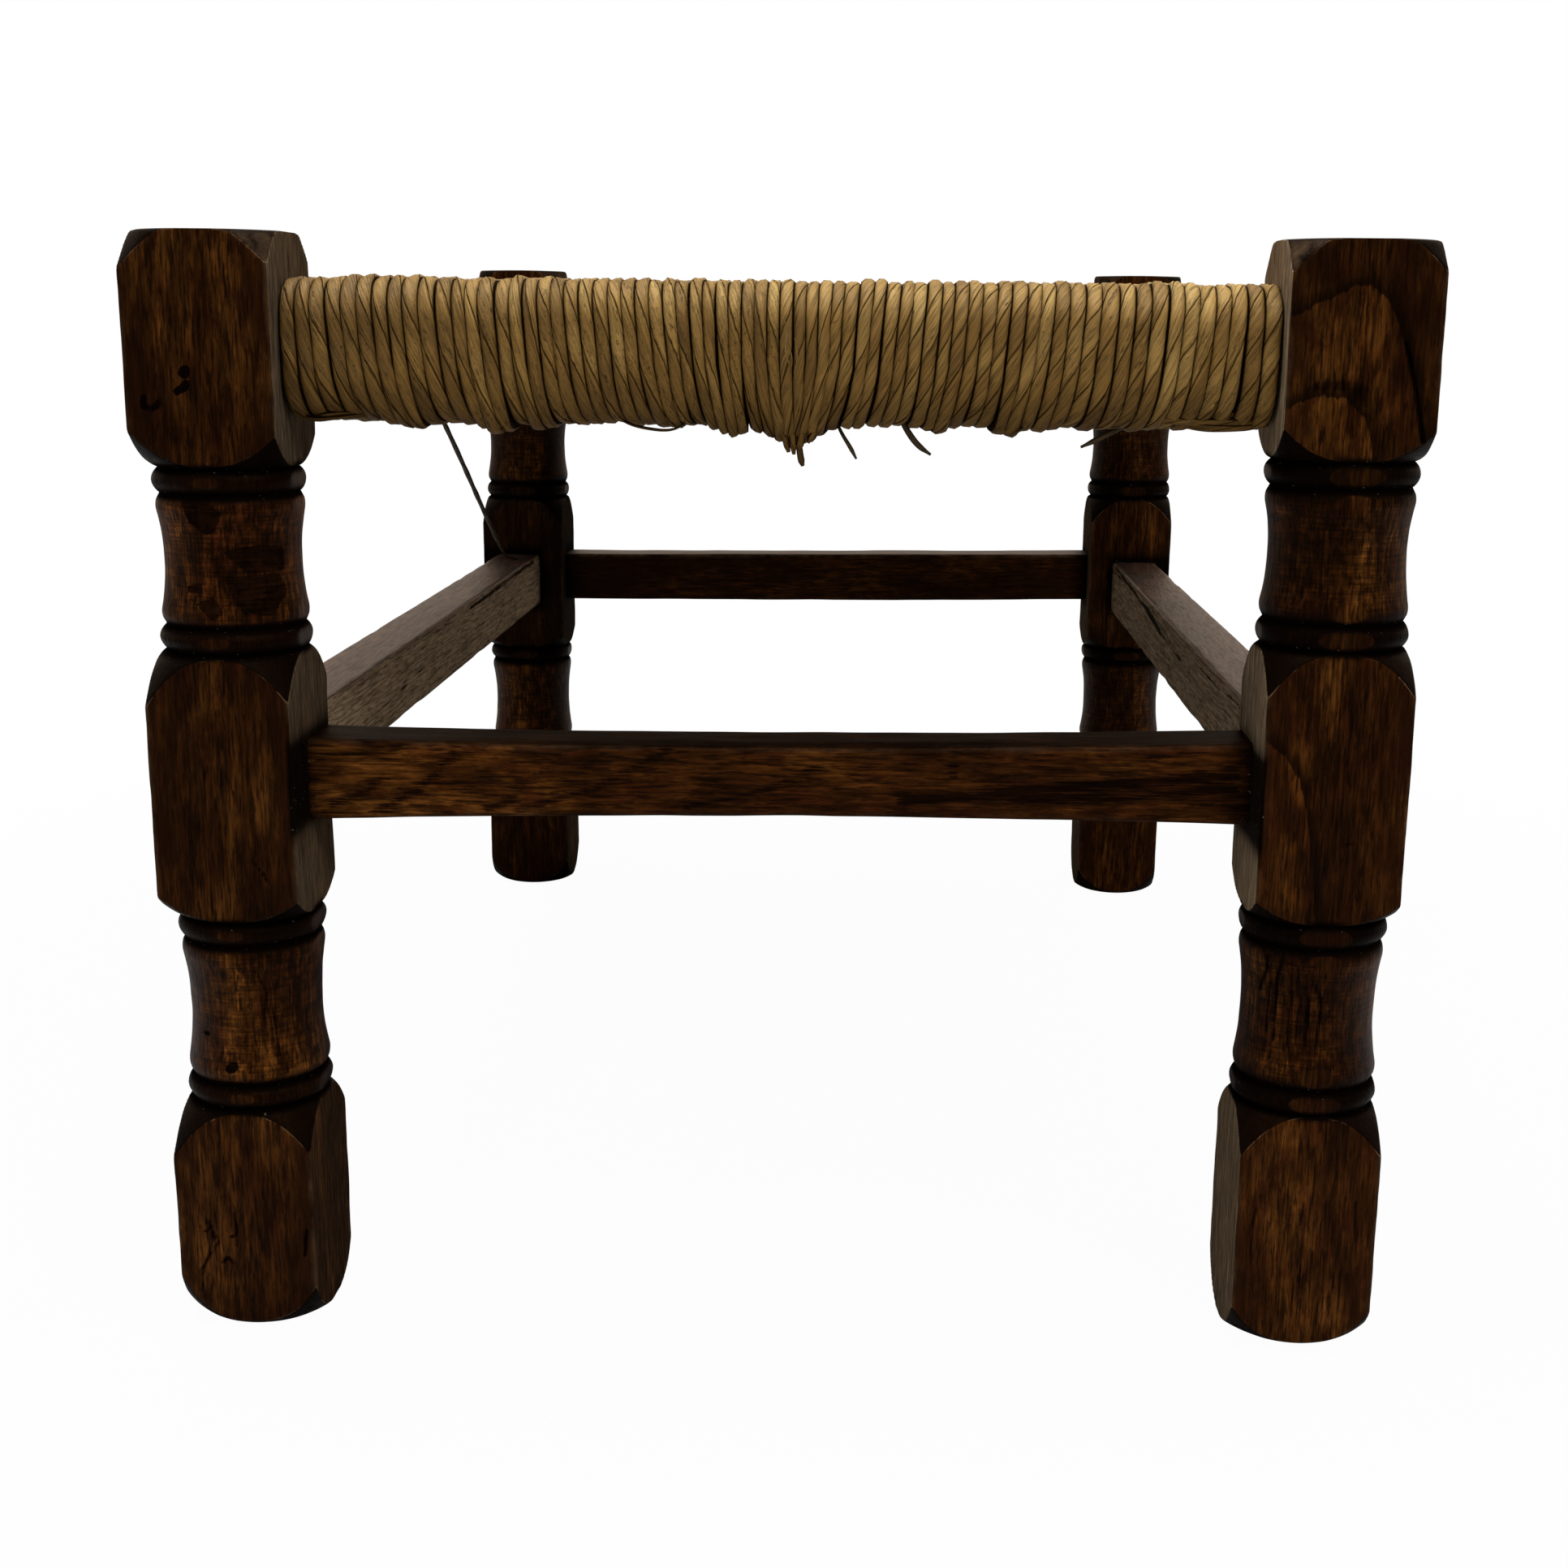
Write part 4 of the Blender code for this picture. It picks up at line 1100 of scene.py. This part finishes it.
def rushCourse(depthAbove, depthBelow):
    # section of one wrap: from the seam on top, out over the roll and back underneath
    inset, corner = rush["halfThick"] + 0.00015, rush["rollCorner"]
    span = rush["reach"] - corner
    inward = np.linspace(depthAbove, corner, 160)
    topZ = rush["top"] - inset - rush["sag"] * smoothShare((inward - corner) / span)
    topZ = topZ - rush["dip"] * smoothShare(1.0 + (inward - depthAbove) / rush["dipReach"]) ** 1.5
    bend = np.linspace(0.0, math.pi / 2, 24)
    radius = corner - inset
    upper = np.stack([corner - radius * np.sin(bend), rush["top"] - corner + radius * np.cos(bend)], axis=1)
    underside = rush["bottom"] + corner - radius * np.sin(bend)
    lower = np.stack([corner - radius * np.cos(bend), underside], axis=1)
    outward = np.linspace(corner, depthBelow, 160)
    lowZ = rush["bottom"] + inset - rush["belly"] * smoothShare((outward - corner) / span)
    lowZ = lowZ + rush["dip"] * smoothShare(1.0 + (outward - depthBelow) / rush["dipReach"]) ** 1.5
    face = np.linspace(upper[-1], lower[0], 12)[1:-1]
    above, under = np.stack([inward, topZ], axis=1)[:-1], np.stack([outward, lowZ], axis=1)[1:]
    line = np.concatenate([above, upper, face, lower, under])
    fall = np.concatenate([np.zeros(159), np.linspace(0.0, 1.0, 24 + 10 + 24) ** 1.9, np.ones(159)])
    run = np.concatenate([[0.0], np.cumsum(np.linalg.norm(np.diff(line, axis=0), axis=1))])
    return line, fall, run


def makeRush(side, material):
    make = rushMakes[side]
    half, wraps, rings = make["half"], make["wraps"], rush["rings"]
    chance = np.random.default_rng(make["seed"])
    share = (np.arange(wraps) + 0.5) / wraps
    pitch = (1.0 + 0.07 * np.cos(2 * math.pi * share)) * (1.0 + 0.06 * chance.standard_normal(wraps))
    edges = np.concatenate([[0.0], np.cumsum(pitch)])
    edges = (edges / edges[-1] * 2.0 - 1.0) * (half - 0.0004)
    centres, widths = (edges[1:] + edges[:-1]) / 2, np.diff(edges)
    leans = rush["lean"] * smoothShare(np.abs(centres) / rush["gather"])
    leans *= 0.25 + 0.75 * smoothShare((half - np.abs(centres)) / rush["legClear"])
    lowCentres = centres - np.sign(centres) * leans
    lowWidths = np.gradient(lowCentres) * 1.02
    paths = np.empty((wraps, rings, 3))
    outward = np.empty((wraps, rings, 3))
    halfWide = np.empty((wraps, rings))
    halfThick = np.empty((wraps, rings))
    turns = np.empty((wraps, rings))
    tones = np.empty((wraps, rings))
    for wrap in range(wraps):
        place, hand = centres[wrap], -1.0 if centres[wrap] > 0 else 1.0
        depth = min(rush["mitre"] + half - abs(place), rush["reach"]) - rush["seamGap"]
        below = min(rush["mitre"] + half - abs(lowCentres[wrap]), rush["reach"]) - rush["seamGap"]
        line, fall, run = rushCourse(depth, below)
        at = np.linspace(0.0, run[-1], rings)
        inward, high = np.interp(at, run, line[:, 0]), np.interp(at, run, line[:, 1])
        fallen = np.interp(at, run, fall)
        slide = np.stack([np.gradient(inward), np.gradient(high)], axis=1)
        slide /= np.linalg.norm(slide, axis=1, keepdims=True)
        out = np.stack([slide[:, 1], -slide[:, 0]], axis=1)
        phase = chance.uniform(0.0, math.tau, 6)
        sway = 0.00022 * np.sin(at / 0.031 + phase[0]) + 0.00014 * np.sin(at / 0.013 + phase[1])
        puff = 0.00022 * np.sin(at / 0.024 + phase[2]) + 0.00028 * chance.standard_normal()
        ends = smoothShare(np.minimum(at, run[-1] - at) / 0.010)
        puff = np.clip(puff, -0.0004, 0.0005) * ends
        place = place + (lowCentres[wrap] - place) * fallen + sway * ends
        if side == "front":
            # drawn down and together where ends are tied or tucked in
            lower = np.exp(-((inward - 0.0075) / 0.0062) ** 2) * np.where(high < 0.312, 1.0, 0.0) * fallen
            for middle, reach, drop, pull in rushLobes:
                drawn = math.exp(-((lowCentres[wrap] * 1000.0 - middle) / reach) ** 2) * lower
                place = place + (middle / 1000.0 - place) * pull * drawn
                high = high - drop / 1000.0 * drawn
        forward = make["roll"] + inward + out[:, 0] * puff
        paths[wrap] = np.stack([place, forward, high + out[:, 1] * puff], axis=1)
        outward[wrap] = np.stack([np.zeros(rings), out[:, 0], out[:, 1]], axis=1)
        taper = 0.72 + 0.28 * ends
        wide = widths[wrap] + (max(min(lowWidths[wrap], 0.0056), 0.0030) - widths[wrap]) * fallen
        uneven = 1.0 + 0.03 * np.sin(at / 0.019 + phase[3])
        halfWide[wrap] = wide * (0.532 + 0.016 * fallen) * taper * uneven
        halfThick[wrap] = rush["halfThick"] * taper
        pace = rush["twistLeft"] if hand > 0 else rush["twistRight"]
        pace *= 1.0 + 0.14 * chance.standard_normal()
        turns[wrap] = phase[4] + hand * (at / pace * math.tau + 0.45 * np.sin(at / 0.027 + phase[5]))
        pale = 0.14 if side == "front" and 0.1185 < centres[wrap] < 0.1235 else 0.0
        if side == "front":
            pale -= 0.17 * ease((-0.02 - centres[wrap]) / 0.11)
        tones[wrap] = 0.5 + pale + 0.045 * chance.standard_normal() + 0.07 * np.sin(at / 0.05 + phase[5])
    mesh = layStrands(side + "RushStrands", paths, outward, halfWide, halfThick, turns, tones)
    mesh.transform(turnZ(make["turn"], 4))
    addPiece(side + "_rush_strands", mesh, material, "rush", side + "_rush")


rushTones = {
    "old": (0.098, 0.048, 0.0105),
    "tan": (0.215, 0.115, 0.0270),
    "straw": (0.385, 0.236, 0.0700),
    "seam": (0.020, 0.0095, 0.0022),
    # gap is the colour of the painted shade between strands
    "gap": (0.0060, 0.0028, 0.0008),
    "sheen": (1.0, 0.84, 0.55),
    "speck": (0.018, 0.009, 0.003),
    "dry": (0.050, 0.036, 0.020),
}


def makeRushFinish(name, shade=1.0):
    material, tree, shader = newMaterial(name)
    fibre = attribute(tree, "fibre", "Vector")
    streaks = cloud(tree, mapTo(tree, fibre, scale=(1.0, 1.0, 0.030)), 4.2, 3.0, 0.62)
    patches = cloud(tree, mapTo(tree, fibre, scale=(0.6, 0.6, 0.30)), 0.36, 3.0, 0.6)
    creases = mapTo(tree, fibre, scale=(1.0, 1.0, 0.045), shift=(3.0, 7.0, 0.0))
    creases = cloud(tree, creases, 1.9, 2.0, 0.5)
    specks = cloud(tree, mapTo(tree, fibre, scale=(1.0, 1.0, 0.5)), 1.15, 1.0)
    wander = timesPlus(tree, patches, 0.9, -0.45)
    turn = maths(tree, "ADD", axes(tree, fibre)["Y"], wander)
    leaf = within(tree, turn, -0.25, 0.25)
    tone = timesPlus(tree, patches, 0.75, maths(tree, "SUBTRACT", attribute(tree, "tone"), 0.44))
    tone = timesPlus(tree, leaf, 0.13, tone)
    colour = ramp(tree, tone, (0.10, rushTones["old"]), (0.50, rushTones["tan"]), (0.92, rushTones["straw"]))
    streakTone = ramp(tree, streaks, (0.30, grey(0.50)), (0.66, grey(1.22)))
    colour = toned(tree, 0.95, colour, streakTone)
    crease = maths(tree, "ABSOLUTE", maths(tree, "SUBTRACT", creases, 0.5))
    crease = ramp(tree, crease, (0.004, grey(0.30)), (0.026, grey(1.0)))
    colour = toned(tree, 0.85, colour, crease)
    seam = ramp(tree, maths(tree, "ABSOLUTE", turn), (0.03, grey(1.0)), (0.15, grey(0.0)))
    colour = tint(tree, times(tree, seam, 0.90), colour, rushTones["seam"])
    # painted shade in the crevices between strands
    sunkShade = ramp(tree, attribute(tree, "sunkShade"), (0.0, grey(0.0)), (0.36, grey(0.14)), (0.50, grey(0.97)))
    # painted light: darker and browner towards the bottom as painted shade, and paler and greyer towards the
    # top as painted top light and sheen
    level = axes(tree, addNode(tree, "ShaderNodeTexCoord").outputs["Object"])["Z"]
    level = within(tree, level, 0.292, 0.338)
    paintedLightTone = ramp(tree, level, (0.0, (0.66, 0.60, 0.45)), (0.56, grey(1.05)), (0.76, (1.05, 1.06, 1.08)),
                   (0.98, (1.36, 1.47, 1.62)))
    colour = toned(tree, 1.0, colour, paintedLightTone)
    colour = tint(tree, sunkShade, colour, rushTones["gap"])
    colour = tint(tree, ramp(tree, specks, (0.75, grey(0.0)), (0.775, grey(0.8))), colour, rushTones["speck"])
    colour = tint(tree, 1.0 - shade, colour, rushTones["dry"])
    tree.links.new(colour, shader.inputs["Base Color"])
    tree.links.new(ramp(tree, streaks, (0.3, grey(0.62)), (0.7, grey(0.44))), shader.inputs["Roughness"])
    bared = maths(tree, "SUBTRACT", 1.0, most(tree, sunkShade, seam))
    tree.links.new(times(tree, bared, rush["shine"]), shader.inputs["Specular IOR Level"])
    shader.inputs["Specular Tint"].default_value = (*rushTones["sheen"], 1.0)
    height = timesPlus(tree, patches, 0.5, streaks)
    height = timesPlus(tree, seam, -0.9, timesPlus(tree, crease, 0.35, height))
    addBump(tree, shader, height, 0.75, 0.0005)
    return material


# rush ends: folds along the lower front edge, the gathered ends in the middle, and what hangs loose

rushEnds = {
    "rings": 26,
    "twist": 0.030,
    "underEdge": -0.2815,
    "outward": (0.0, -0.80, -0.60),
}

# half width, half thickness and tone, then the places along the edge and their heights, in millimetres
foldMakes = (
    (0.4, 0.35, 0.18, ((-49, 297.5), (-44, 295.6), (-39, 294.6), (-33, 294.0), (-29, 295.4), (-27, 297.5))),
    (0.5, 0.4, 0.10, ((68.6, 294.2), (71.6, 294.4), (74.0, 296.0), (76.5, 298.4))),
    (1.5, 1.1, 0.48, ((103, 301.5), (110, 299.6), (127, 298.4), (140, 298.6), (148, 299.4))),
    (1.3, 1.0, 0.42, ((112, 303), (120, 301.2), (131, 300.6), (141, 301.0), (148, 301.8))),
    (1.2, 1.0, 0.38, ((118, 298.4), (127, 297.0), (137, 296.8), (148, 297.6))),
    (0.7, 0.5, 0.12, ((-148, 298.6), (-141.5, 296.0), (-134, 296.9), (-126.5, 297.7), (-118, 299.5))),
    (0.6, 0.5, 0.14, ((-143, 296.4), (-139, 297.6), (-133, 298.3), (-126, 298.6), (-118, 300))),
)

# as above, with the distance that each end lies in front of the under edge
tuftMakes = (
    (1.1, 0.9, 0.42, ((1.6, -0.5, 297), (2.4, 1.6, 293), (3.0, 1.8, 290.4), (3.6, 1.2, 288.2))),
    (1.0, 0.9, 0.48, ((4.4, 0.4, 297), (4.8, 2.2, 293), (5.0, 2.2, 290.0), (5.2, 1.6, 287.6))),
    (1.1, 0.9, 0.40, ((8.2, -0.2, 297), (7.6, 1.8, 293), (7.0, 1.8, 290.6), (6.6, 1.2, 288.6))),
    (0.8, 0.7, 0.46, ((12.4, -1.0, 297), (11.2, 1.0, 294), (10.2, 1.2, 292.4), (9.4, 0.8, 291.0))),
    (0.9, 0.7, 0.24, ((6.6, 1.6, 291.0), (7.0, 1.2, 288.0), (7.4, 0.8, 285.6), (7.9, 0.6, 284.0))),
    (0.25, 0.2, 0.85, ((2.0, 9.3, 329.0), (3.4, 9.6, 324.0), (2.6, 9.7, 319.0), (4.0, 9.4, 314.0))),
    (0.20, 0.2, 0.80, ((4.2, 9.3, 326.0), (3.0, 9.8, 321.0), (5.0, 9.7, 317.0), (4.4, 9.3, 311.5))),
    (0.20, 0.2, 0.75, ((5.6, 9.3, 322.0), (6.6, 9.8, 316.0), (5.2, 9.6, 312.0), (6.4, 9.2, 308.0))),
)

# half width, half thickness and tone of each node's end, then its places, in millimetres
looseMakes = {
    "short_loose_end": (0.55, 0.45, 0.10, (
        (17.6, -275, 298.0), (19.0, -276, 294.2), (22.2, -277, 289.4), (24.0, -277, 286.0))),
    "curved_loose_end": (0.85, 0.45, 0.08, (
        (36.8, -275, 299.6), (38.8, -276, 295.4), (42.4, -277, 290.4), (46.6, -278, 287.6))),
    "tied_loose_end": (0.75, 0.50, 0.30, (
        (109.0, -275, 298.4), (103.0, -276, 295.6), (96.4, -277, 292.4), (92.0, -278, 290.4))),
    "stray_stalk": (1.05, 0.90, 0.05, (
        (-174.5, 27.0, 295.6), (-174.3, 90.0, 262.0), (-174.6, 150.0, 229.0),
        (-174.5, 209.0, 197.0), (-171.0, 211.2, 196.4), (-168.4, 212.0, 196.2))),
}


def softLine(points, rings):
    # rounds the corners of a run of points, then spaces it evenly
    points = np.array(points, dtype=float)
    for _ in range(3):
        near, far = 0.75 * points[:-1] + 0.25 * points[1:], 0.25 * points[:-1] + 0.75 * points[1:]
        points = np.concatenate([points[:1], np.stack([near, far], axis=1).reshape(-1, 3), points[-1:]])
    run = np.concatenate([[0.0], np.cumsum(np.linalg.norm(np.diff(points, axis=0), axis=1))])
    at = np.linspace(0.0, run[-1], rings)
    return np.stack([np.interp(at, run, points[:, axis]) for axis in range(3)], axis=1), at


def layEnds(name, courses, seed):
    chance = np.random.default_rng(seed)
    rings = rushEnds["rings"]
    shape = (len(courses), rings)
    paths, outward = np.empty((*shape, 3)), np.empty((*shape, 3))
    half, thick, turns, tones = np.empty(shape), np.empty(shape), np.empty(shape), np.empty(shape)
    for row, (halfWide, halfThick, tone, points) in enumerate(courses):
        paths[row], at = softLine(np.array(points) / 1000.0, rings)
        outward[row] = rushEnds["outward"]
        taper = 0.55 + 0.45 * smoothShare(np.minimum(at, at[-1] - at) / (0.25 * at[-1]))
        lumps = 1.0 + 0.10 * np.sin(at / 0.0042 + chance.uniform(0.0, math.tau))
        half[row], thick[row] = halfWide / 1000.0 * taper * lumps, halfThick / 1000.0 * taper * lumps
        turns[row] = chance.uniform(0.0, math.tau) + at / rushEnds["twist"] * math.tau
        tones[row] = tone + 0.08 * np.sin(at / 0.006 + chance.uniform(0.0, math.tau))
    return layStrands(name, paths, outward, half, thick, turns, tones)


def makeRushEnds(material, dryMaterial):
    edge = rushEnds["underEdge"] * 1000.0
    courses = []
    for halfWide, halfThick, tone, points in foldMakes:
        ends = len(points) - 1
        places = [(x, edge + (5.0 if step in (0, ends) else 0.0), z) for step, (x, z) in enumerate(points)]
        courses.append((halfWide, halfThick, tone, places))
    for halfWide, halfThick, tone, points in tuftMakes:
        courses.append((halfWide, halfThick, tone, [(x, edge - out + 0.6, z) for x, out, z in points]))
    addPiece("tied_rush_ends", layEnds("tiedRushEnds", courses, 31), material, "rush", "tied_rush_knot")
    for seed, (node, course) in enumerate(looseMakes.items()):
        addPiece(node + "_leaf", layEnds(node + "Leaf", [course], 40 + seed), dryMaterial, "rush", node)


# stuffing: rush scraps packed between the layers, one lumpy pad to a pocket

stuffing = {
    "low": 0.3012,
    "high": 0.3326,
    "edge": 0.0035,
    "lump": 0.0011,
    "step": 0.006,
    "fill": 0.5,
}

stuffingMakes = {
    "short": ((-0.1478, -0.2617), (0.1478, -0.2617), (0.1478, -0.2498), (0.0, -0.1015), (-0.1478, -0.2498)),
    "long": ((-0.2472, -0.1627), (0.2472, -0.1627), (0.2472, -0.1503), (0.0982, -0.0013),
             (-0.0982, -0.0013), (-0.2472, -0.1503)),
}


def makeStuffing(side, material):
    plan = stuffingMakes["short" if side in ("front", "back") else "long"]
    turn = rushMakes[side]["turn"]
    bm = bmesh.new()
    verts = [bm.verts.new((x, y, stuffing["low"])) for x, y in plan]
    base = bm.faces.new(verts)
    raised = bmesh.ops.extrude_face_region(bm, geom=[base])["geom"]
    lifted = [item for item in raised if isinstance(item, bmesh.types.BMVert)]
    bmesh.ops.translate(bm, verts=lifted, vec=(0, 0, stuffing["high"] - stuffing["low"]))
    bmesh.ops.recalc_face_normals(bm, faces=bm.faces)
    bmesh.ops.bevel(bm, geom=bm.edges[:], offset=stuffing["edge"], segments=2, profile=0.5,
                    affect="EDGES", material=-1)
    bmesh.ops.triangulate(bm, faces=[face for face in bm.faces if len(face.verts) > 4])
    for _ in range(6):
        longEdges = [edge for edge in bm.edges if edge.calc_length() > 2 * stuffing["step"]]
        if not longEdges:
            break
        bmesh.ops.subdivide_edges(bm, edges=longEdges, cuts=1)
        bmesh.ops.triangulate(bm, faces=[face for face in bm.faces if len(face.verts) > 4])
    seed = Vector((turn * 0.37, 4.0, 1.0))
    bm.normal_update()
    for vert in bm.verts:
        lump = noise.noise(vert.co * 75.0 + seed) - 0.9
        vert.co += vert.normal * stuffing["lump"] * lump
    bmesh.ops.rotate(bm, verts=bm.verts, cent=(0, 0, 0), matrix=turnZ(turn, 3))
    mesh = meshFrom(bm, side + "StuffingScraps")
    piece = addPiece(side + "_stuffing_scraps", mesh, material, "rush_stuffing", side + "_stuffing")


def makeScraps():
    material, tree, shader = newMaterial("rushScraps")
    spot = addNode(tree, "ShaderNodeTexCoord").outputs["Object"]
    chaff = cloud(tree, mapTo(tree, spot, scale=(1.0, 0.12, 0.6), turn=(0, 0, 37)), 900.0, 3.0, 0.6)
    broad = cloud(tree, spot, 60.0, 2.0)
    colour = ramp(tree, chaff, (0.32, rushTones["old"]), (0.52, rushTones["tan"]), (0.70, rushTones["straw"]))
    colour = toned(tree, 0.6, colour, ramp(tree, broad, (0.3, grey(0.45)), (0.7, grey(1.0))))
    tree.links.new(colour, shader.inputs["Base Color"])
    shader.inputs["Roughness"].default_value = 0.85
    shader.inputs["Specular IOR Level"].default_value = 0.08
    addBump(tree, shader, chaff, 0.7, 0.001)
    return material


# seat rails: cleft oak that the rush hides, left raw

def finishRails():
    for side in ("front", "back", "left", "right"):
        rail = bpy.data.objects[side + "_seat_rail"]
        turn = stretcherMakes[side]["grain"]
        material = makeOak(side + "RailOak", turn, (0, 0, 5.0), (0.3, 0.2), (2.0, 1.0), "rail")
        for place in rail.material_slots:
            place.material = material


# floor, light and backdrop colour

stage = {
    "floorRadius": 4.0,
    "ambient": 0.13,
    "mirrorFront": 0.05,
    "mirrorBack": 0.74,
    "mirrorColour": (1.0, 0.80, 0.64, 1.0),
    "key": {"place": (0.85, -1.45, 1.75), "aim": (0.0, -0.1, 0.22), "size": (1.3, 1.0), "power": 24.0},
    "top": {"place": (-0.10, -0.15, 2.10), "aim": (0.0, 0.0, 0.2), "size": (1.4, 1.4), "power": 52.0},
    "fill": {"place": (-1.60, -1.20, 0.90), "aim": (0.0, 0.0, 0.2), "size": (1.0, 1.0), "power": 4.0},
}


def makeLamp(name):
    lamp = stage[name]
    data = bpy.data.lights.new(name + "Softbox", "AREA")
    data.shape = "RECTANGLE"
    data.size, data.size_y = lamp["size"]
    data.energy = lamp["power"]
    box = bpy.data.objects.new(name + "Softbox", data)
    box.location = lamp["place"]
    box.rotation_euler = (Vector(lamp["aim"]) - Vector(lamp["place"])).to_track_quat("-Z", "Y").to_euler()
    scene.collection.objects.link(box)


def makeWorld():
    world = bpy.data.worlds.new("studio")
    scene.world = world
    world.use_nodes = True
    tree = world.node_tree
    rays = addNode(tree, "ShaderNodeLightPath").outputs
    dim = tree.nodes["Background"]
    dim.inputs["Color"].default_value = (1.0, 1.0, 1.0, 1.0)
    dim.inputs["Strength"].default_value = stage["ambient"]
    white = addNode(tree, "ShaderNodeBackground", values={"Color": (1, 1, 1, 1), "Strength": 1.0})
    # what shines mirrors a warm glow from behind the stool, and little from the front
    way = axes(tree, addNode(tree, "ShaderNodeTexCoord").outputs["Generated"])["Y"]
    behind = addNode(tree, "ShaderNodeMapRange", {"Value": way}, {
        "From Min": -0.1, "From Max": 0.8, "To Min": stage["mirrorFront"], "To Max": stage["mirrorBack"],
    }).outputs["Result"]
    faint = addNode(tree, "ShaderNodeBackground", {"Strength": behind}, {"Color": stage["mirrorColour"]})
    soft = {0: rays["Is Glossy Ray"], 1: dim.outputs[0], 2: faint.outputs[0]}
    soft = addNode(tree, "ShaderNodeMixShader", soft)
    mixed = {0: rays["Is Camera Ray"], 1: soft.outputs[0], 2: white.outputs[0]}
    mixed = addNode(tree, "ShaderNodeMixShader", mixed)
    tree.links.new(mixed.outputs[0], tree.nodes["World Output"].inputs["Surface"])


def makeFloor():
    bm = bmesh.new()
    bmesh.ops.create_circle(bm, cap_ends=True, segments=96, radius=stage["floorRadius"])
    floor = bpy.data.objects.new("studioFloor", meshFrom(bm, "studioFloor"))
    scene.collection.objects.link(floor)
    material, tree, shader = newMaterial("paleFloor")
    shader.inputs["Base Color"].default_value = (0.45, 0.45, 0.45, 1.0)
    shader.inputs["Roughness"].default_value = 0.9
    shader.inputs["Specular IOR Level"].default_value = 0.0
    # white to the camera, with a little of the shadow kept near the stool
    spot = addNode(tree, "ShaderNodeTexCoord").outputs["Object"]
    away = addNode(tree, "ShaderNodeVectorMath", {0: spot}, operation="LENGTH").outputs["Value"]
    far = addNode(tree, "ShaderNodeMapRange", {"Value": away}, {"From Min": 0.35, "From Max": 0.95},
                  interpolation_type="SMOOTHSTEP").outputs["Result"]
    rays = addNode(tree, "ShaderNodeLightPath").outputs
    glow = addNode(tree, "ShaderNodeEmission", values={"Color": (1, 1, 1, 1), "Strength": 1.0}).outputs[0]
    amount = times(tree, rays["Is Camera Ray"], timesPlus(tree, far, 0.03, 0.97))
    blend = addNode(tree, "ShaderNodeMixShader", {0: amount, 1: shader.outputs[0], 2: glow})
    tree.links.new(blend.outputs[0], tree.nodes["Material Output"].inputs["Surface"])
    floor.data.materials.append(material)


makeCamera()
makeWorld()
makeFloor()
for name in ("key", "top", "fill"):
    makeLamp(name)
print("floor and light made")
for corner in legMakes:
    makeLeg(corner)
print("legs turned")
for side in stretcherMakes:
    makeStretcher(side)
print("stretchers sawn and worn")
rushFinish = makeRushFinish("twistedRush")
scraps = makeScraps()
for side in rushMakes:
    makeRush(side, rushFinish)
    makeStuffing(side, scraps)
print("rush wound and stuffed")
makeRushEnds(rushFinish, makeRushFinish("dryRush", 0.25))
finishRails()
print("loose ends and rails finished")
